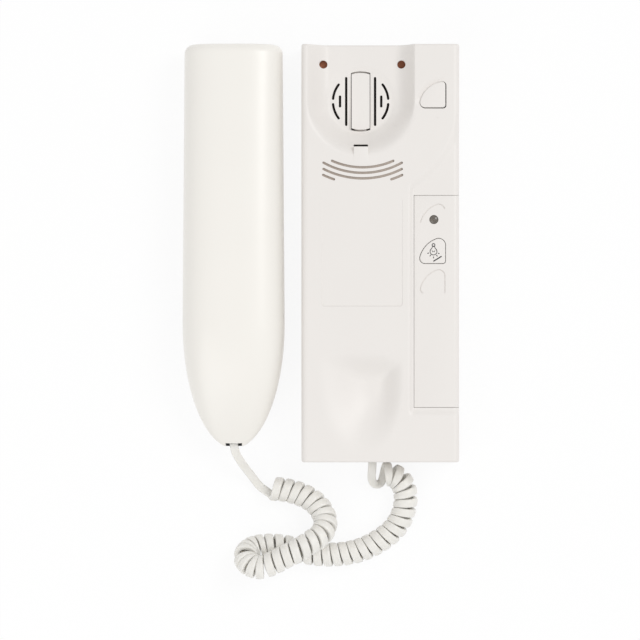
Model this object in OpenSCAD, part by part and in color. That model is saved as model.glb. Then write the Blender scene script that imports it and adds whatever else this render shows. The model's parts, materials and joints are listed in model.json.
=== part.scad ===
// Wall intercom station with its handset lying face down beside it on a curly cord.
// The station lies on its back: X across, Y up the station, Z out of its front.
// The origin is in the middle of its back.

/* [Station] */
// Width of the station
station_w = 80; // [78:1:90]
// Height of the station
station_h = 212; // [206:1:225]
// Depth from the wall to the front face
station_d = 30; // [29:0.5:36]
// Depth of the rear tray's outer wall
tray_d = 8; // [7:0.5:9]
// Thickness of the rear tray's plate
plate_t = 2.6; // [2:0.1:3]
// Wall thickness of the station's mouldings
wall = 2.4; // [2:0.1:2.6]
// Radius along the long front edges
edge_r = 2.2; // [1:0.1:2.6]
// Radius of the four upright corners
corner_r = 1.2; // [0.6:0.1:2]
// Height of the tray's lip inside the cover
lip_h = 3; // [2:0.5:4]
// Thickness of the tray's lip
lip_t = 1.4; // [1:0.1:1.8]
// Play between mouldings that sit in one another
fit = 0.15; // [0.1:0.05:0.25]

/* [Ear cradle] */
// Radius of the ear cradle
ear_r = 27; // [26:0.5:28]
// Depth of the ear cradle, also the radius of its hollow walls
ear_depth = 10; // [9:0.5:10.5]
// Centre of the ear cradle below the station's top
ear_from_top = 28.6; // [28:0.2:30]
// Rim left of the ear cradle
cradle_rim = 3.1; // [3:0.1:4]
// Width of the tongue that holds the handset on the wall
tongue_w = 8.8; // [7:0.2:10]
// Length of that tongue
tongue_l = 9.4; // [8:0.2:11]
// Height of the slot past the tongue's tip
tongue_slot = 1.2; // [0.8:0.1:1.6]

/* [Mouth cradle] */
// Width of the mouth cradle
mouth_w = 44; // [42:0.5:45]
// Length of the mouth cradle below its widest place
mouth_low = 41.5; // [40:0.5:42]
// Length of the mouth cradle above its widest place
mouth_up = 15; // [12:0.5:18]
// Depth of the mouth cradle
mouth_depth = 10.4; // [9:0.2:11]
// Widest place of the mouth cradle above the station's bottom
mouth_from_bottom = 44.4; // [44:0.2:46]

/* [Hook lever] */
// Width of the hook lever's pad
hook_w = 9.2; // [8.6:0.1:9.6]
// Length of the hook lever's pad
hook_l = 28.9; // [28:0.1:29.6]
// How far the pad's lower end stands proud
hook_rise = 1.4; // [1:0.1:1.6]
// Gap at each side of the pad
hook_side_gap = 0.45; // [0.35:0.05:0.6]
// Gap at each end of the pad
hook_end_gap = 0.85; // [0.75:0.05:1]
// Diameter of the hook pin
pin_d = 2; // [1.6:0.1:2.4]
// Play of the lever on its pin, all round
pin_play = 0.04; // [0.02:0.01:0.08]

/* [Sound slots] */
// Width of the ear grille's slots
slot_w = 1.1; // [0.9:0.1:1.3]
// Radius of the ear grille's curved slots
grille_r = 14.1; // [13.8:0.1:14.6]
// Diameter of the two round view holes
view_hole_d = 4; // [3:0.2:4.6]
// Radius of the uppermost sounder slot
smile_r = 38; // [36:0.5:40]
// Distance from one sounder slot to the next
smile_pitch = 2.8; // [2.4:0.1:3]
// Width of a sounder slot
smile_w = 1.25; // [1:0.05:1.4]
// Thickness of the cover where the sounder slots go through it
slot_roof = 0.9; // [0.8:0.1:1.2]

/* [Keys] */
// Radius of a key's quarter-round face
key_r = 13.2; // [12.4:0.1:13.6]
// Gap round a key
key_gap = 0.3; // [0.25:0.05:0.4]
// How far a key stands proud
key_rise = 0.4; // [0.2:0.1:0.8]
// Thickness of a key's retaining flange
flange_t = 1.4; // [1.2:0.1:1.6]
// Overhang of a key's retaining flange
flange_w = 1.2; // [0.8:0.1:1.4]
// Right side of the keys from the station's right side
key_from_right = 7.1; // [6.9:0.1:7.6]
// Foot of the door key below the station's top
door_from_top = 32.3; // [32:0.1:33]
// Distance from one key place on the panel to the next
key_pitch = 17; // [16.6:0.1:17.6]
// Foot of the light key below the panel's top
light_from_panel_top = 34.4; // [34:0.1:35]
// Diameter of the status light
lamp_d = 4.4; // [4:0.1:5]
// Clear distance between a key spring's ends and what they press on
spring_gap = 0.1; // [0.05:0.05:0.2]

/* [Side panel] */
// Thickness of the side panel
panel_t = 2; // [1.6:0.1:2.2]
// Length of the side panel
panel_l = 107.4; // [100:0.2:110]
// Top of the side panel below the station's top
panel_from_top = 76.8; // [76:0.2:79]
// How much lower the panel lies than the front face
panel_drop = 1.5; // [1:0.1:1.8]
// Height of the panel's skirt on the station's right side
skirt_h = 10; // [8:0.5:12]
// Radius of the step that runs round the ear cradle
collar_r = 50.6; // [49:0.2:52]
// Width of the sloping step beside the panel
step_w = 2.2; // [1.6:0.1:3]

/* [Label] */
// Width of the label recess
label_w = 40.5; // [38:0.5:41]
// Height of the label recess
label_h = 54.5; // [50:0.5:56]
// Depth of the label recess
label_depth = 0.5; // [0.3:0.1:0.8]
// Foot of the label recess above the station's middle
label_foot = -26.7; // [-28:0.1:-26]

/* [Circuit board] */
// Thickness of the circuit board
board_t = 1.6; // [1.2:0.1:1.8]
// Gap between the board and the ear cradle's underside
board_gap = 0.4; // [0.3:0.1:0.6]
// Diameter of the screws that hold the board
board_screw_d = 2.4; // [2:0.1:2.8]

/* [Sounder] */
// Diameter of the sounder
sounder_d = 30; // [28:0.5:31]
// Height of the sounder's basket
sounder_h = 6; // [5:0.2:7]
// Thickness of the cloth behind the sounder slots
cloth_t = 0.4; // [0.3:0.1:0.6]

/* [Wall fixing] */
// Distance across between the wall screws
wall_screw_x = 54; // [50:1:56]
// Distance up between the wall screws
wall_screw_y = 150; // [140:1:156]
// Diameter of the wall screw holes
wall_screw_d = 4.5; // [4:0.1:5]
// Diameter of the cable entry
cable_entry_d = 16; // [12:0.5:18]

/* [Cord plugs] */
// Width of a cord plug
plug_w = 7.65; // [7.2:0.05:7.8]
// Height of a cord plug
plug_h = 6.6; // [6.2:0.05:6.8]
// Length of a cord plug
plug_l = 11.7; // [11:0.1:12]
// Wall of a jack
jack_t = 1.2; // [1:0.1:1.4]
// Play round a plug in its jack
plug_play = 0.12; // [0.08:0.02:0.2]
// Middle of the station's jack above the wall
jack_z = 12.3; // [12:0.1:12.8]

/* [Handset] */
// Length of the handset
handset_l = 205.4; // [200:0.2:210]
// Greatest width of the handset
handset_w = 52; // [50:0.5:53]
// Width of the handset at its ear end
handset_end_w = 50; // [48:0.5:51]
// Height of the handset's back as it lies face down
handset_t = 38; // [36:0.5:40]
// Height of the seam between its two shells
seam_z = 16; // [15.6:0.1:16.6]
// Height of the grip's underside as it lies face down
grip_z = 12; // [11.5:0.1:12.4]
// Length of the rounded mouth end
nose_l = 63.4; // [60:0.2:66]
// Corner radius of the ear end
handset_corner = 4.6; // [4:0.1:6]
// Wall thickness of the handset's shells
shell_t = 2.2; // [1.8:0.1:2.4]
// Gap between the station and the handset beside it
handset_gap = 8.6; // [8:0.2:9]
// Diameter of the receiver capsule
receiver_d = 30; // [28:0.5:31]
// Diameter of the microphone capsule
microphone_d = 9.7; // [9:0.1:10.2]
// Diameter of the handset's screws
handset_screw_d = 2.4; // [2:0.1:2.6]

/* [Cord] */
// Width of the cord's flattened section
cord_w = 4.3; // [4.1:0.05:4.4]
// Thickness of the cord's flattened section
cord_t = 2.8; // [2.6:0.05:2.9]
// Outer diameter of the curls
coil_d = 12.6; // [12.2:0.1:12.8]
// Whole curls from the handset's end to the turning place
curls_a = 20; // [17:1:21]
// Whole curls from the turning place to the station's end
curls_b = 25; // [22:1:26]

/* [Hidden] */
$fn = 64;

WHITE = [0.93, 0.915, 0.90];
HANDSET_WHITE = [0.95, 0.94, 0.92];
CORD_WHITE = [0.88, 0.87, 0.855];
BROWN = [0.45, 0.28, 0.19];
STEEL = [0.72, 0.73, 0.74];
DARK = [0.16, 0.16, 0.16];
CLEAR = [0.85, 0.88, 0.88];
COPPER = [0.72, 0.45, 0.25];

// Room that a cut takes past the face it opens, and depth to which a post roots in its wall
over = 1;
root = 0.2;
left = -station_w / 2;
right = station_w / 2;
top = station_h / 2;
bottom = -station_h / 2;

// Ear cradle
cradle_x = left + cradle_rim + ear_r;
ear_y = top - ear_from_top;
floor_z = station_d - ear_depth;
floor_under = floor_z - wall;
ear_flat = ear_r - ear_depth;
cradle_foot = ear_y - ear_r;
tongue_root = 6;
tongue_tip = cradle_foot + tongue_l - tongue_root;
tongue_rise = 0.5;
tongue_ramp = 3;
tongue_nose = 0.6;
tongue_nose_drop = 0.3;
tongue_t = 1.9;

// Mouth cradle
mouth_y = bottom + mouth_from_bottom;
mouth_shift = 6;
mouth_sides = 32;
mouth_steps = 6;
mouth_end = 84;
mouth_fullness = 0.85;
mouth_taper = 0.6;

// Side panel and the lowered zone round it
column_x = cradle_x + ear_r;
panel_z = station_d - panel_drop;
panel_top = top - panel_from_top;
panel_bottom = panel_top - panel_l;
skirt_t = panel_t;
skirt_in = max(skirt_t, edge_r);
window_rim = 1;
window_foot = 3;
zone_foot = panel_bottom - 4;
zone_foot_out = 0.5;
zone_foot_in = 3.4;
step_in = 0.3;
collar_slope = 3.4;
skirt_foot = panel_z - panel_t - skirt_h;
cover_roof = station_d - wall;
seat_roof = panel_z - panel_t - fit - wall;

// Keys: each is placed by the lower right corner of its quarter-round face
key_x = right - key_from_right;
door_y = top - door_from_top;
light_y = panel_top - light_from_panel_top;
key_corner_foot = 1.3;
key_corner_left = 2.6;
key_corner_top = 3.4;
key_centre = 0.45 * key_r;
key_flange_play = 0.3;
key_travel = 1.5;
door_under = cover_roof - panel_drop;
light_under = panel_z - panel_t;
stem_d = 3.4;
stem_play = 0.05;
lamp_x = key_x - 5.8;
lamp_y = light_y + key_pitch + 5.2;
lamp_play = 0.1;
lamp_rise = 0.3;
lamp_rim = 0.6;
sleeve_h = 5;
sleeve_t = 0.3;
sleeve_bore = 1;
blank_depth = 0.4;
blank_w = 0.5;

// Ear grille and sounder slots
long_slot_x = 7.35;
long_slot_l = 25;
short_slot_x = 10.5;
short_slot_l = 6.2;
grille_angles = [5.7, 142.5, 185.7, 322.5];
grille_span = 31.8;
slot_end_lead = 30;
smile_low_angle = 270;
smile_half_spans = [24, 31, 29.5];
smile_end_angles = [242.3, 288.4];
smile_end_span = 9;
label_x = cradle_x + 0.6;

// Circuit board
board_top = floor_under - board_gap;
board_under = board_top - board_t;
board_left = left + wall + 1.6;
board_right = right - skirt_in - fit - wall - 0.4;
board_head = top - wall - 1.1;
board_foot = ear_y - 16.4;
board_screw_l = 6;
board_screw_head = 1.6;
board_screw_rim = 1.1;
board_screw_play = 0.3;
board_rest_r = 2.4;
board_rest_in = 5;
hook_window = 3.4;
lever_window = 16;
column_foot = light_y - 20;
column_left = column_x + 0.6;
small_can_r = 2.5;
small_can_h = 7;
small_can_x = 21;
small_can_y = 6;
large_cans = [[column_x + 6, ear_y - 22, 3.2], [column_x + 14, column_foot + 13, 2.6]];
large_can_h = 8;
resistors = 5;
resistor_pitch = 5;
resistor_r = 1.2;
resistor_l = 6.4;
resistor_gap = 0.1;
resistor_x = column_x + 7.6;
resistor_y = ear_y - 32;
transformer_at = [column_x + 9, ear_y + 9];
core_size = [13, 12, 9];
winding_size = [16, 6, 5];
winding_drop = 2;
switch_h = 3.6;
switch_floor = 0.5;
switch_side = 6.2;
post_r = 2.8;
post_x = board_right - 4;
post_y = [board_head - 5.4, ear_y - 32, column_foot + 4];
view_x = [cradle_x - 18.8, cradle_x + 20.6];
view_y = ear_y + 18;

// Hook lever and its switch
hook_r = hook_l / 2;
pivot_y = ear_y + hook_r + 3.5;
pivot_z = floor_under - 3.2;
boss_r = pin_d / 2 + 1.6;
lug_t = 2;
lug_gap = 0.5;
nose_out = 16;
nose_foot = floor_under - 5.2;
nose_w = 4;
toe_w = 6;
toe_l = 1.8;
toe_t = 2.2;
toe_gap = 0.3;
arm_root = 1.5;
hook_flush = 0.2;
spring_out = 24;
spring_seat = floor_under - 2.8;
plunger_d = 2.4;
plunger_play = 0.05;
plunger_gap = 0.1;
plunger_floor = 3;
plunger_foot = 5;
hook_switch_h = 7;
hook_switch_w = 6.4;
hook_switch_low = 3.6;
hook_switch_up = 7.8;

// Sounder
sounder_x = cradle_x + 0.9;
sounder_y = ear_y - 46.4;
smile_x = cradle_x + 0.9;
smile_y = ear_y + 3.4;
cloth_gap = 0.1;
cloth_top = station_d - slot_roof - cloth_gap;
cloth_w = 48;
cloth_low = smile_y - smile_r - 3 * smile_pitch - 2;
cloth_high = cradle_foot - wall - 0.4;
sounder_top = cover_roof - 0.6;
sounder_ring_r = sounder_d / 2 + 2 * fit;
sounder_ring_h = 4;
ring_t = 1.4;
basket_rim = 2;
basket_t = 0.9;
basket_hole_r = 5;
basket_foot_r = 8.6;
basket_slope = 1;
cone_gap = 0.3;
cone_clear = 1.8;
cone_t = 0.4;
cone_depth = 2.8;
cone_cap_r = 4;
cone_cap_h = 0.7;
magnet_r = 8.4;
magnet_h = 4;
pole_r = 4.6;
pole_h = 1;

// Cable entry and the terminals for the wires from the wall
entry_y = mouth_y + 20;
terminals = 5;
terminal_pitch = 5;
terminal_y = entry_y + 20;
terminal_w = 10;
terminal_h = 10;
terminal_seat = 5;
terminal_screw_r = 1.7;
terminal_screw_h = 3.6;
terminal_wire_z = 3;
terminal_wire_r = 1.3;
wire_pitch = 2.4;
wire_run = 7;
wire_bend = 2;
wire_bend_out = 2.5;
wire_bend_up = 0.6;
wire_under_block = 3;
wire_rise_in = 3;
wire_rise = 1.6;
wire_gap = 0.05;
inner_wire_d = 1.2;
handset_wire_d = 1.1;

// Station jack and cover screw
jack_x = -3.8;
jack_w = plug_w + 2 * (plug_play + jack_t);
jack_h = plug_h + 2 * (plug_play + jack_t);
jack_l = plug_l + 1;
plug_in = 0.4;
cover_screw_x = 22;
cover_screw_z = tray_d + lip_h + 3;
cover_screw_d = 2.9;
cover_screw_l = 8;
cover_head_r = 2.6;
cover_head_h = 1.5;
cover_sink = cover_head_h + 0.1;
drive_w = 0.7;
drive_depth = 0.7;
screw_block_w = 8;
screw_block_l = 9;
screw_block_rise = 3.4;
thread_play = 0.05;
inner_r = 0.5;
peg_h = 3;
peg_play = 0.3;
plug_gap = 0.4;
contact_pitch = 1.27;
contact_slot = 0.6;
contact_l = 4;
contact_depth = 1;
latch_x = 2.6;
latch_slot = 0.8;

// Handset
handset_x = left - handset_gap - handset_w / 2;
handset_top = top + 0.1;
tip_y = handset_top - handset_l;
crown_h = handset_t - seam_z;
crown_fall = 4;
ear_zone = 42.5;
ear_slope = 20;
mouth_zone = 29;
mouth_flat = 7;
mouth_slope = 22;
back_power = 3;
front_power = 3;
ear_face = handset_top - 28.7;
mouth_face = tip_y + mouth_zone;
handset_jack_z = seam_z - 2;
handset_plug_y = tip_y + 2.6;
handset_jack_y = tip_y + 8;
screw_y = [tip_y + 70, handset_top - 76];
screw_tube_r = 4.2;
screw_boss_r = 3.4;
screw_reach = 11;
screw_sink = 0.6;
screw_head_z = 0.8;
screw_head_rim = 1.1;
screw_head_play = 0.3;
screw_seat = 2.4;
boss_meet = 1;
catch_play = 1;
seat_h = 3.4;
receiver_z = seat_h + 1.6;
receiver_seat_r = 11.5;
receiver_seat_bore = 8;
receiver_face_in = 2;
receiver_edge = 1.4;
receiver_wall = 5;
receiver_step = 0.6;
receiver_back_in = 3;
receiver_h = 9;
ear_hole_ring = 5;
ear_hole_r = 1;
mouth_hole_pitch = 3.2;
mouth_hole_r = 0.8;
boot_t = 2.4;
boot_h = 8;
boot_floor = 1.15;
boot_hole_r = 3;
microphone_h = 6.4;
pin_x = 1.3;
pin_l = 1.75;
pin_r = 0.4;
weight_w = 24;
weight_t = 5;
weight_z = 20;
weight_clear = 3.3;
weight_y = (screw_y[0] + screw_y[1]) / 2;
weight_l = screw_y[1] - screw_y[0] - 2 * (screw_boss_r + weight_clear);
weight_post_r = 2;
weight_post_in = 4;
post_root = 0.4;
// Play between the weight and the posts that hold it
weight_play = 0.1;

// Cord: middle line of the curls as it lies, from the handset's end to the station's end
coil_axis = [[-54.6, -120.4, 6.5], [-49, -121, 6.5], [-42.4, -122.6, 6.5], [-36.2, -125.4, 7], [-31.4, -129.4, 8],
    [-28.4, -134.4, 10], [-28, -139.2, 13], [-30.4, -143.6, 16.4], [-35.4, -147.2, 19], [-41.4, -150.8, 20.4],
    [-48, -154.2, 20.4], [-54.6, -157.6, 20], [-60.4, -159.8, 19], [-66.2, -158.6, 17], [-68.8, -155, 12.8],
    [-66.2, -151.4, 8.4], [-60.4, -149.8, 6.5], [-54.6, -149.6, 6.5], [-48.4, -150.2, 6.5], [-42.4, -151.8, 6.5],
    [-34.6, -153.6, 6.5], [-25, -154.2, 6.5], [-15.2, -153.2, 6.5], [-7.2, -150.8, 6.5], [-0.4, -147.2, 6.5],
    [5.8, -142.6, 6.5], [10.2, -137, 6.5], [12.9, -129.6, 6.5], [13, -122.8, 6.5], [10.6, -117.2, 6.5],
    [6, -113.8, 6.5]];
// Place on that line where the curls change hand
turning_point = 14;
// Straight ends of the cord, from the plug's face to the curls
handset_lead_points = [[-74.6, -96.7, 14], [-74, -101, 13.2], [-71.8, -105.4, 10.6], [-68.8, -109.8, 7.2],
    [-65.4, -114.4, 4.2], [-61.8, -119.2, 2.6]];
base_lead_points = [[-3.8, -105.6, 12.3], [-3.8, -110, 11.8], [-3.9, -113.6, 9], [-3, -116.8, 5.4],
    [-0.6, -118.6, 2.8], [2, -118.2, 1.8]];
curl_r = (coil_d - cord_t) / 2;
// Angles round the middle line: 270 is underneath
start_angle = 220;
turning_angle = 330;
end_angle = 270;
// Steps of the smooth line between two of its points
fine = 14;
// Clear distance kept between neighbouring curls, and how the rate of turning drops round the tight bend
cord_gap = 0.8;
turning_room = 4;
turning_ease = 0.4;
turning_reach = 10;

// Springs: plain round wire
key_spring_r = 2.4;
key_spring_turns = 3;
hook_spring_r = 2.6;
hook_spring_turns = 5;
wire_d = 0.5;

// Plain helpers

function clamp01(v) = max(0, min(1, v));
function ease(v) = let (u = clamp01(v)) u * u * (3 - 2 * u);
function flat(lists) = [for (list = lists) each list];
function unit(v) = v / norm(v);
function signed_power(v, p) = sign(v) * pow(abs(v), p);

// Closed solid through rings of equal count, with flat ends
function loft_faces(rings, count) = concat(
    flat([for (j = [0 : rings - 2], i = [0 : count - 1])
        let (a = j * count + i, b = j * count + (i + 1) % count)
        [[a, b + count, b], [a, a + count, b + count]]]),
    [for (i = [1 : count - 2]) [0, i, i + 1]],
    [for (i = [1 : count - 2]) let (e = (rings - 1) * count) [e, e + i + 1, e + i]]);

module loft(rings) {
    polyhedron(flat(rings), loft_faces(len(rings), len(rings[0])), convexity = 6);
}

module slab(w, h, r, z0, z1) {
    translate([0, 0, z0]) linear_extrude(z1 - z0) {
        square([w - 2 * r, h], center = true);
        square([w, h - 2 * r], center = true);
        for (x = [-1, 1], y = [-1, 1])
            translate([x * (w / 2 - r), y * (h / 2 - r)]) circle(r);
    }
}

module box(low, high) {
    translate(low) cube(high - low);
}

// Extrudes an outline drawn in X and Z along Y, from y0 up to y1
module along_y(y0, y1) {
    translate([0, y1, 0]) rotate([90, 0, 0]) linear_extrude(y1 - y0) children();
}

// Extrudes an outline drawn in Y and Z along X, from x0 to x1
module along_x(x0, x1) {
    translate([x0, 0, 0]) rotate([90, 0, 90]) linear_extrude(x1 - x0) children();
}

module tube(outer, inner, z0, z1) {
    difference() {
        translate([0, 0, z0]) cylinder(h = z1 - z0, r = outer);
        translate([0, 0, z0 - over]) cylinder(h = z1 - z0 + 2 * over, r = inner);
    }
}

// Straight slot with round ends, drawn flat
module slot(length, width) {
    square([width, length - width], center = true);
    for (s = [-1, 1]) translate([0, s * (length - width) / 2]) circle(width / 2);
}

// Curved slot with round ends from angle a0 to a1, cut from z0 to z1
function arc_points(c, r, a0, a1, steps) = [for (i = [0 : steps])
    let (a = a0 + (a1 - a0) * i / steps) c + r * [cos(a), sin(a)]];
module arc_slot(radius, width, a0, a1, z0, z1) {
    steps = ceil((a1 - a0) / 4);
    translate([0, 0, z0]) linear_extrude(z1 - z0) polygon(concat(
        arc_points([0, 0], radius + width / 2, a0, a1, steps),
        arc_points(radius * [cos(a1), sin(a1)], width / 2, a1 + slot_end_lead, a1 + 180 - slot_end_lead, 4),
        arc_points([0, 0], radius - width / 2, a1, a0, steps),
        arc_points(radius * [cos(a0), sin(a0)], width / 2, a0 + 180 + slot_end_lead,
            a0 + 360 - slot_end_lead, 4)));
}

// Quarter-round key face, its lower right corner at the origin, grown outwards by g
function key_outline(g, top_r) = let (
    left_c = [-sqrt(pow(key_r - key_corner_left, 2) - pow(key_corner_left, 2)), key_corner_left],
    top_c = [-top_r, sqrt(pow(key_r - top_r, 2) - pow(top_r, 2))],
    top_a = atan2(top_c[1], top_c[0]),
    left_a = atan2(left_c[1], left_c[0]))
    concat(
        arc_points([-key_corner_foot, key_corner_foot], key_corner_foot + g, -90, 0, 4),
        arc_points(top_c, top_r + g, 0, top_a, 6),
        arc_points([0, 0], key_r + g, top_a + 4, left_a - 4, 8),
        arc_points(left_c, key_corner_left + g, left_a, 270, 6));

module key_face(g) {
    polygon(key_outline(g, key_corner_top));
}

// Round wire wound as a spring about Z, its ends closed flat against z0 and z1
module wire_spring(radius, z0, z1, turns) {
    low = z0 + wire_d / 2;
    high = z1 - wire_d / 2;
    steps = turns * 8;
    centres = [for (i = [0 : steps]) let (a = 45 * i)
        [radius * cos(a), radius * sin(a), low + (high - low) * i / steps]];
    rings = [for (i = [0 : steps]) let (a = 45 * i, out = [cos(a), sin(a), 0])
        [for (k = [0 : 5]) centres[i] + wire_d / 2 * (cos(60 * k) * out + sin(60 * k) * [0, 0, 1])]];
    loft(rings);
}

// Round wire along hand-laid points
function path_tangent(points, i) = unit(points[min(i + 1, len(points) - 1)] - points[max(i - 1, 0)]);
function side_of(t) = let (s = cross([0, 0, 1], t)) norm(s) < 0.05 ? [1, 0, 0] : unit(s);
module wire(points, diameter) {
    loft([for (i = [0 : len(points) - 1])
        let (t = path_tangent(points, i), s = side_of(t), u = cross(t, s))
        [for (k = [0 : 5]) points[i] + diameter / 2 * (cos(60 * k) * s + sin(60 * k) * u)]]);
}

// Shapes that the cover, panel and board share

module ear_profile(g) {
    translate([0, floor_z - g]) square([ear_flat, ear_depth + g + over]);
    intersection() {
        translate([ear_flat, station_d]) circle(ear_depth + g);
        translate([ear_flat, floor_z - g]) square(ear_depth + g);
    }
    translate([ear_flat, station_d]) square([ear_depth + g, over]);
}

// Ear cradle: a flat floor with hollow quarter-round walls, open at the top
module ear_scoop(g) {
    translate([cradle_x, ear_y, 0]) {
        rotate([0, 0, 180]) rotate_extrude(angle = 180) ear_profile(g);
        along_y(0, ear_from_top + over) {
            ear_profile(g);
            mirror([1, 0]) ear_profile(g);
        }
    }
}

// Mouth cradle: a bowl that runs out to a point at its foot
function mouth_ring(g, z, share) = [for (i = [0 : mouth_sides - 1]) let (a = -360 * i / mouth_sides)
    [cradle_x + (mouth_w / 2 + g) * share * cos(a),
     mouth_y - mouth_shift * (1 - share) + ((sin(a) < 0 ? mouth_low : mouth_up) + g) * share * sin(a), z]];
module mouth_scoop(g) {
    loft(concat([mouth_ring(g, station_d + over, 1)],
        [for (j = [0 : mouth_steps]) let (b = mouth_end * j / mouth_steps)
            mouth_ring(g, station_d - (mouth_depth + g) * pow(sin(b) / sin(mouth_end), mouth_fullness),
                pow(cos(b), mouth_taper))]));
}

// Lowered zone round the panel: a sloping step that follows the ear cradle's collar
module lowered_zone() {
    slope = collar_slope / panel_drop;
    difference() {
        intersection() {
            along_y(zone_foot - over, ear_y) polygon([[column_x - step_w, station_d],
                [column_x - step_in, panel_z], [right + over, panel_z], [right + over, station_d + over],
                [column_x - step_w, station_d + over]]);
            along_x(column_x - step_w - over, right + over) polygon([[zone_foot - zone_foot_out, station_d],
                [zone_foot + zone_foot_in, panel_z], [ear_y, panel_z], [ear_y, station_d + over],
                [zone_foot - zone_foot_out, station_d + over]]);
        }
        translate([cradle_x, ear_y, panel_z - over])
            cylinder(h = panel_drop + 2 * over, r1 = collar_r + collar_slope / 2 + slope * over,
                r2 = collar_r - collar_slope / 2 - slope * over, $fn = 128);
    }
}

// Seat of the side panel, grown by g
module panel_seat(g) {
    box([column_x - fit - g, panel_bottom - fit - g, panel_z - panel_t - fit - g],
        [right + over, panel_top + fit + g, station_d + over]);
    box([right - skirt_in - fit - g, panel_bottom - fit - g, skirt_foot - fit - g],
        [right + over, panel_top + fit + g, station_d + over]);
}

module cover_profile(inset, roof, r) {
    half = station_w / 2 - inset;
    translate([-half + r, tray_d]) square([2 * (half - r), roof - tray_d]);
    translate([-half, tray_d]) square([2 * half, roof - r - tray_d]);
    for (s = [-1, 1]) translate([s * (half - r), roof - r]) circle(r);
}

module cover_cavity() {
    difference() {
        union() {
            box([left + wall, bottom + wall, tray_d - over],
                [column_x - step_w - wall, top - wall, cover_roof]);
            box([column_x - step_w - wall - over, bottom + wall, tray_d - over],
                [right - wall, top - wall, cover_roof - panel_drop]);
            // Pocket for the cloth behind the sounder slots
            box([smile_x - cloth_w / 2 - fit, cloth_low - fit, cover_roof - over],
                [smile_x + cloth_w / 2 + fit, cloth_high + fit, station_d - slot_roof]);
        }
        ear_scoop(wall);
        mouth_scoop(wall);
        panel_seat(wall);
    }
}

// Ear grille: long and short straight slots and four curved ones, centred on the cradle
module ear_grille() {
    translate([cradle_x, ear_y, floor_under - over]) {
        depth = wall + 2 * over;
        linear_extrude(depth) for (s = [-1, 1]) {
            translate([s * long_slot_x, 0]) slot(long_slot_l, slot_w);
            translate([s * short_slot_x, 0]) slot(short_slot_l, slot_w);
        }
        for (a = grille_angles) arc_slot(grille_r, slot_w, a, a + grille_span, 0, depth);
    }
    for (x = view_x) translate([x, view_y, floor_under - over])
        cylinder(h = ear_depth, r = view_hole_d / 2);
}

// Sounder slots: three full smiles and the ends of a fourth
module sounder_slots() {
    z0 = cover_roof - over;
    z1 = station_d + over;
    translate([smile_x, smile_y, 0]) {
        for (i = [0 : 2])
            arc_slot(smile_r + i * smile_pitch, smile_w,
                smile_low_angle - smile_half_spans[i], smile_low_angle + smile_half_spans[i], z0, z1);
        for (a = smile_end_angles)
            arc_slot(smile_r + 3 * smile_pitch, smile_w, a, a + smile_end_span, z0, z1);
    }
}

module hook_opening(side, ends) {
    intersection() {
        translate([cradle_x, ear_y, floor_under - over]) cylinder(h = wall + 2 * over, r = hook_r + ends);
        box([cradle_x - hook_w / 2 - side, ear_y - hook_l, floor_under - over],
            [cradle_x + hook_w / 2 + side, ear_y + hook_l, floor_z + over]);
    }
}

// Tongue over the cradle's lower edge that catches the handset when the station hangs on a wall
module tongue() {
    foot = cradle_foot - tongue_root;
    roof = station_d - slot_roof;
    along_x(cradle_x - tongue_w / 2, cradle_x + tongue_w / 2) polygon([[foot, roof], [foot, station_d],
        [foot + tongue_ramp, station_d + tongue_rise], [tongue_tip - tongue_nose, station_d + tongue_rise],
        [tongue_tip, station_d - tongue_nose_drop], [tongue_tip, station_d - tongue_t],
        [cradle_foot, station_d - tongue_t], [cradle_foot - wall, roof]]);
}

module hook_lugs() {
    for (s = [0, 1]) mirror([s, 0, 0])
        translate([s ? -cradle_x : cradle_x, 0, 0])
            box([hook_w / 2 + lug_gap, pivot_y - boss_r, pivot_z - boss_r],
                [hook_w / 2 + lug_gap + lug_t, pivot_y + boss_r, floor_under + root]);
}

module board_posts(r, z0, z1) {
    for (y = post_y) translate([post_x, y, z0]) cylinder(h = z1 - z0, r = r, $fn = 32);
}

module plug_opening(x, z, y0, y1) {
    box([x - plug_w / 2 - plug_gap, y0, z - plug_h / 2 - plug_gap],
        [x + plug_w / 2 + plug_gap, y1, z + plug_h / 2 + plug_gap]);
}

// Sub-parts of the station

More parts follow.
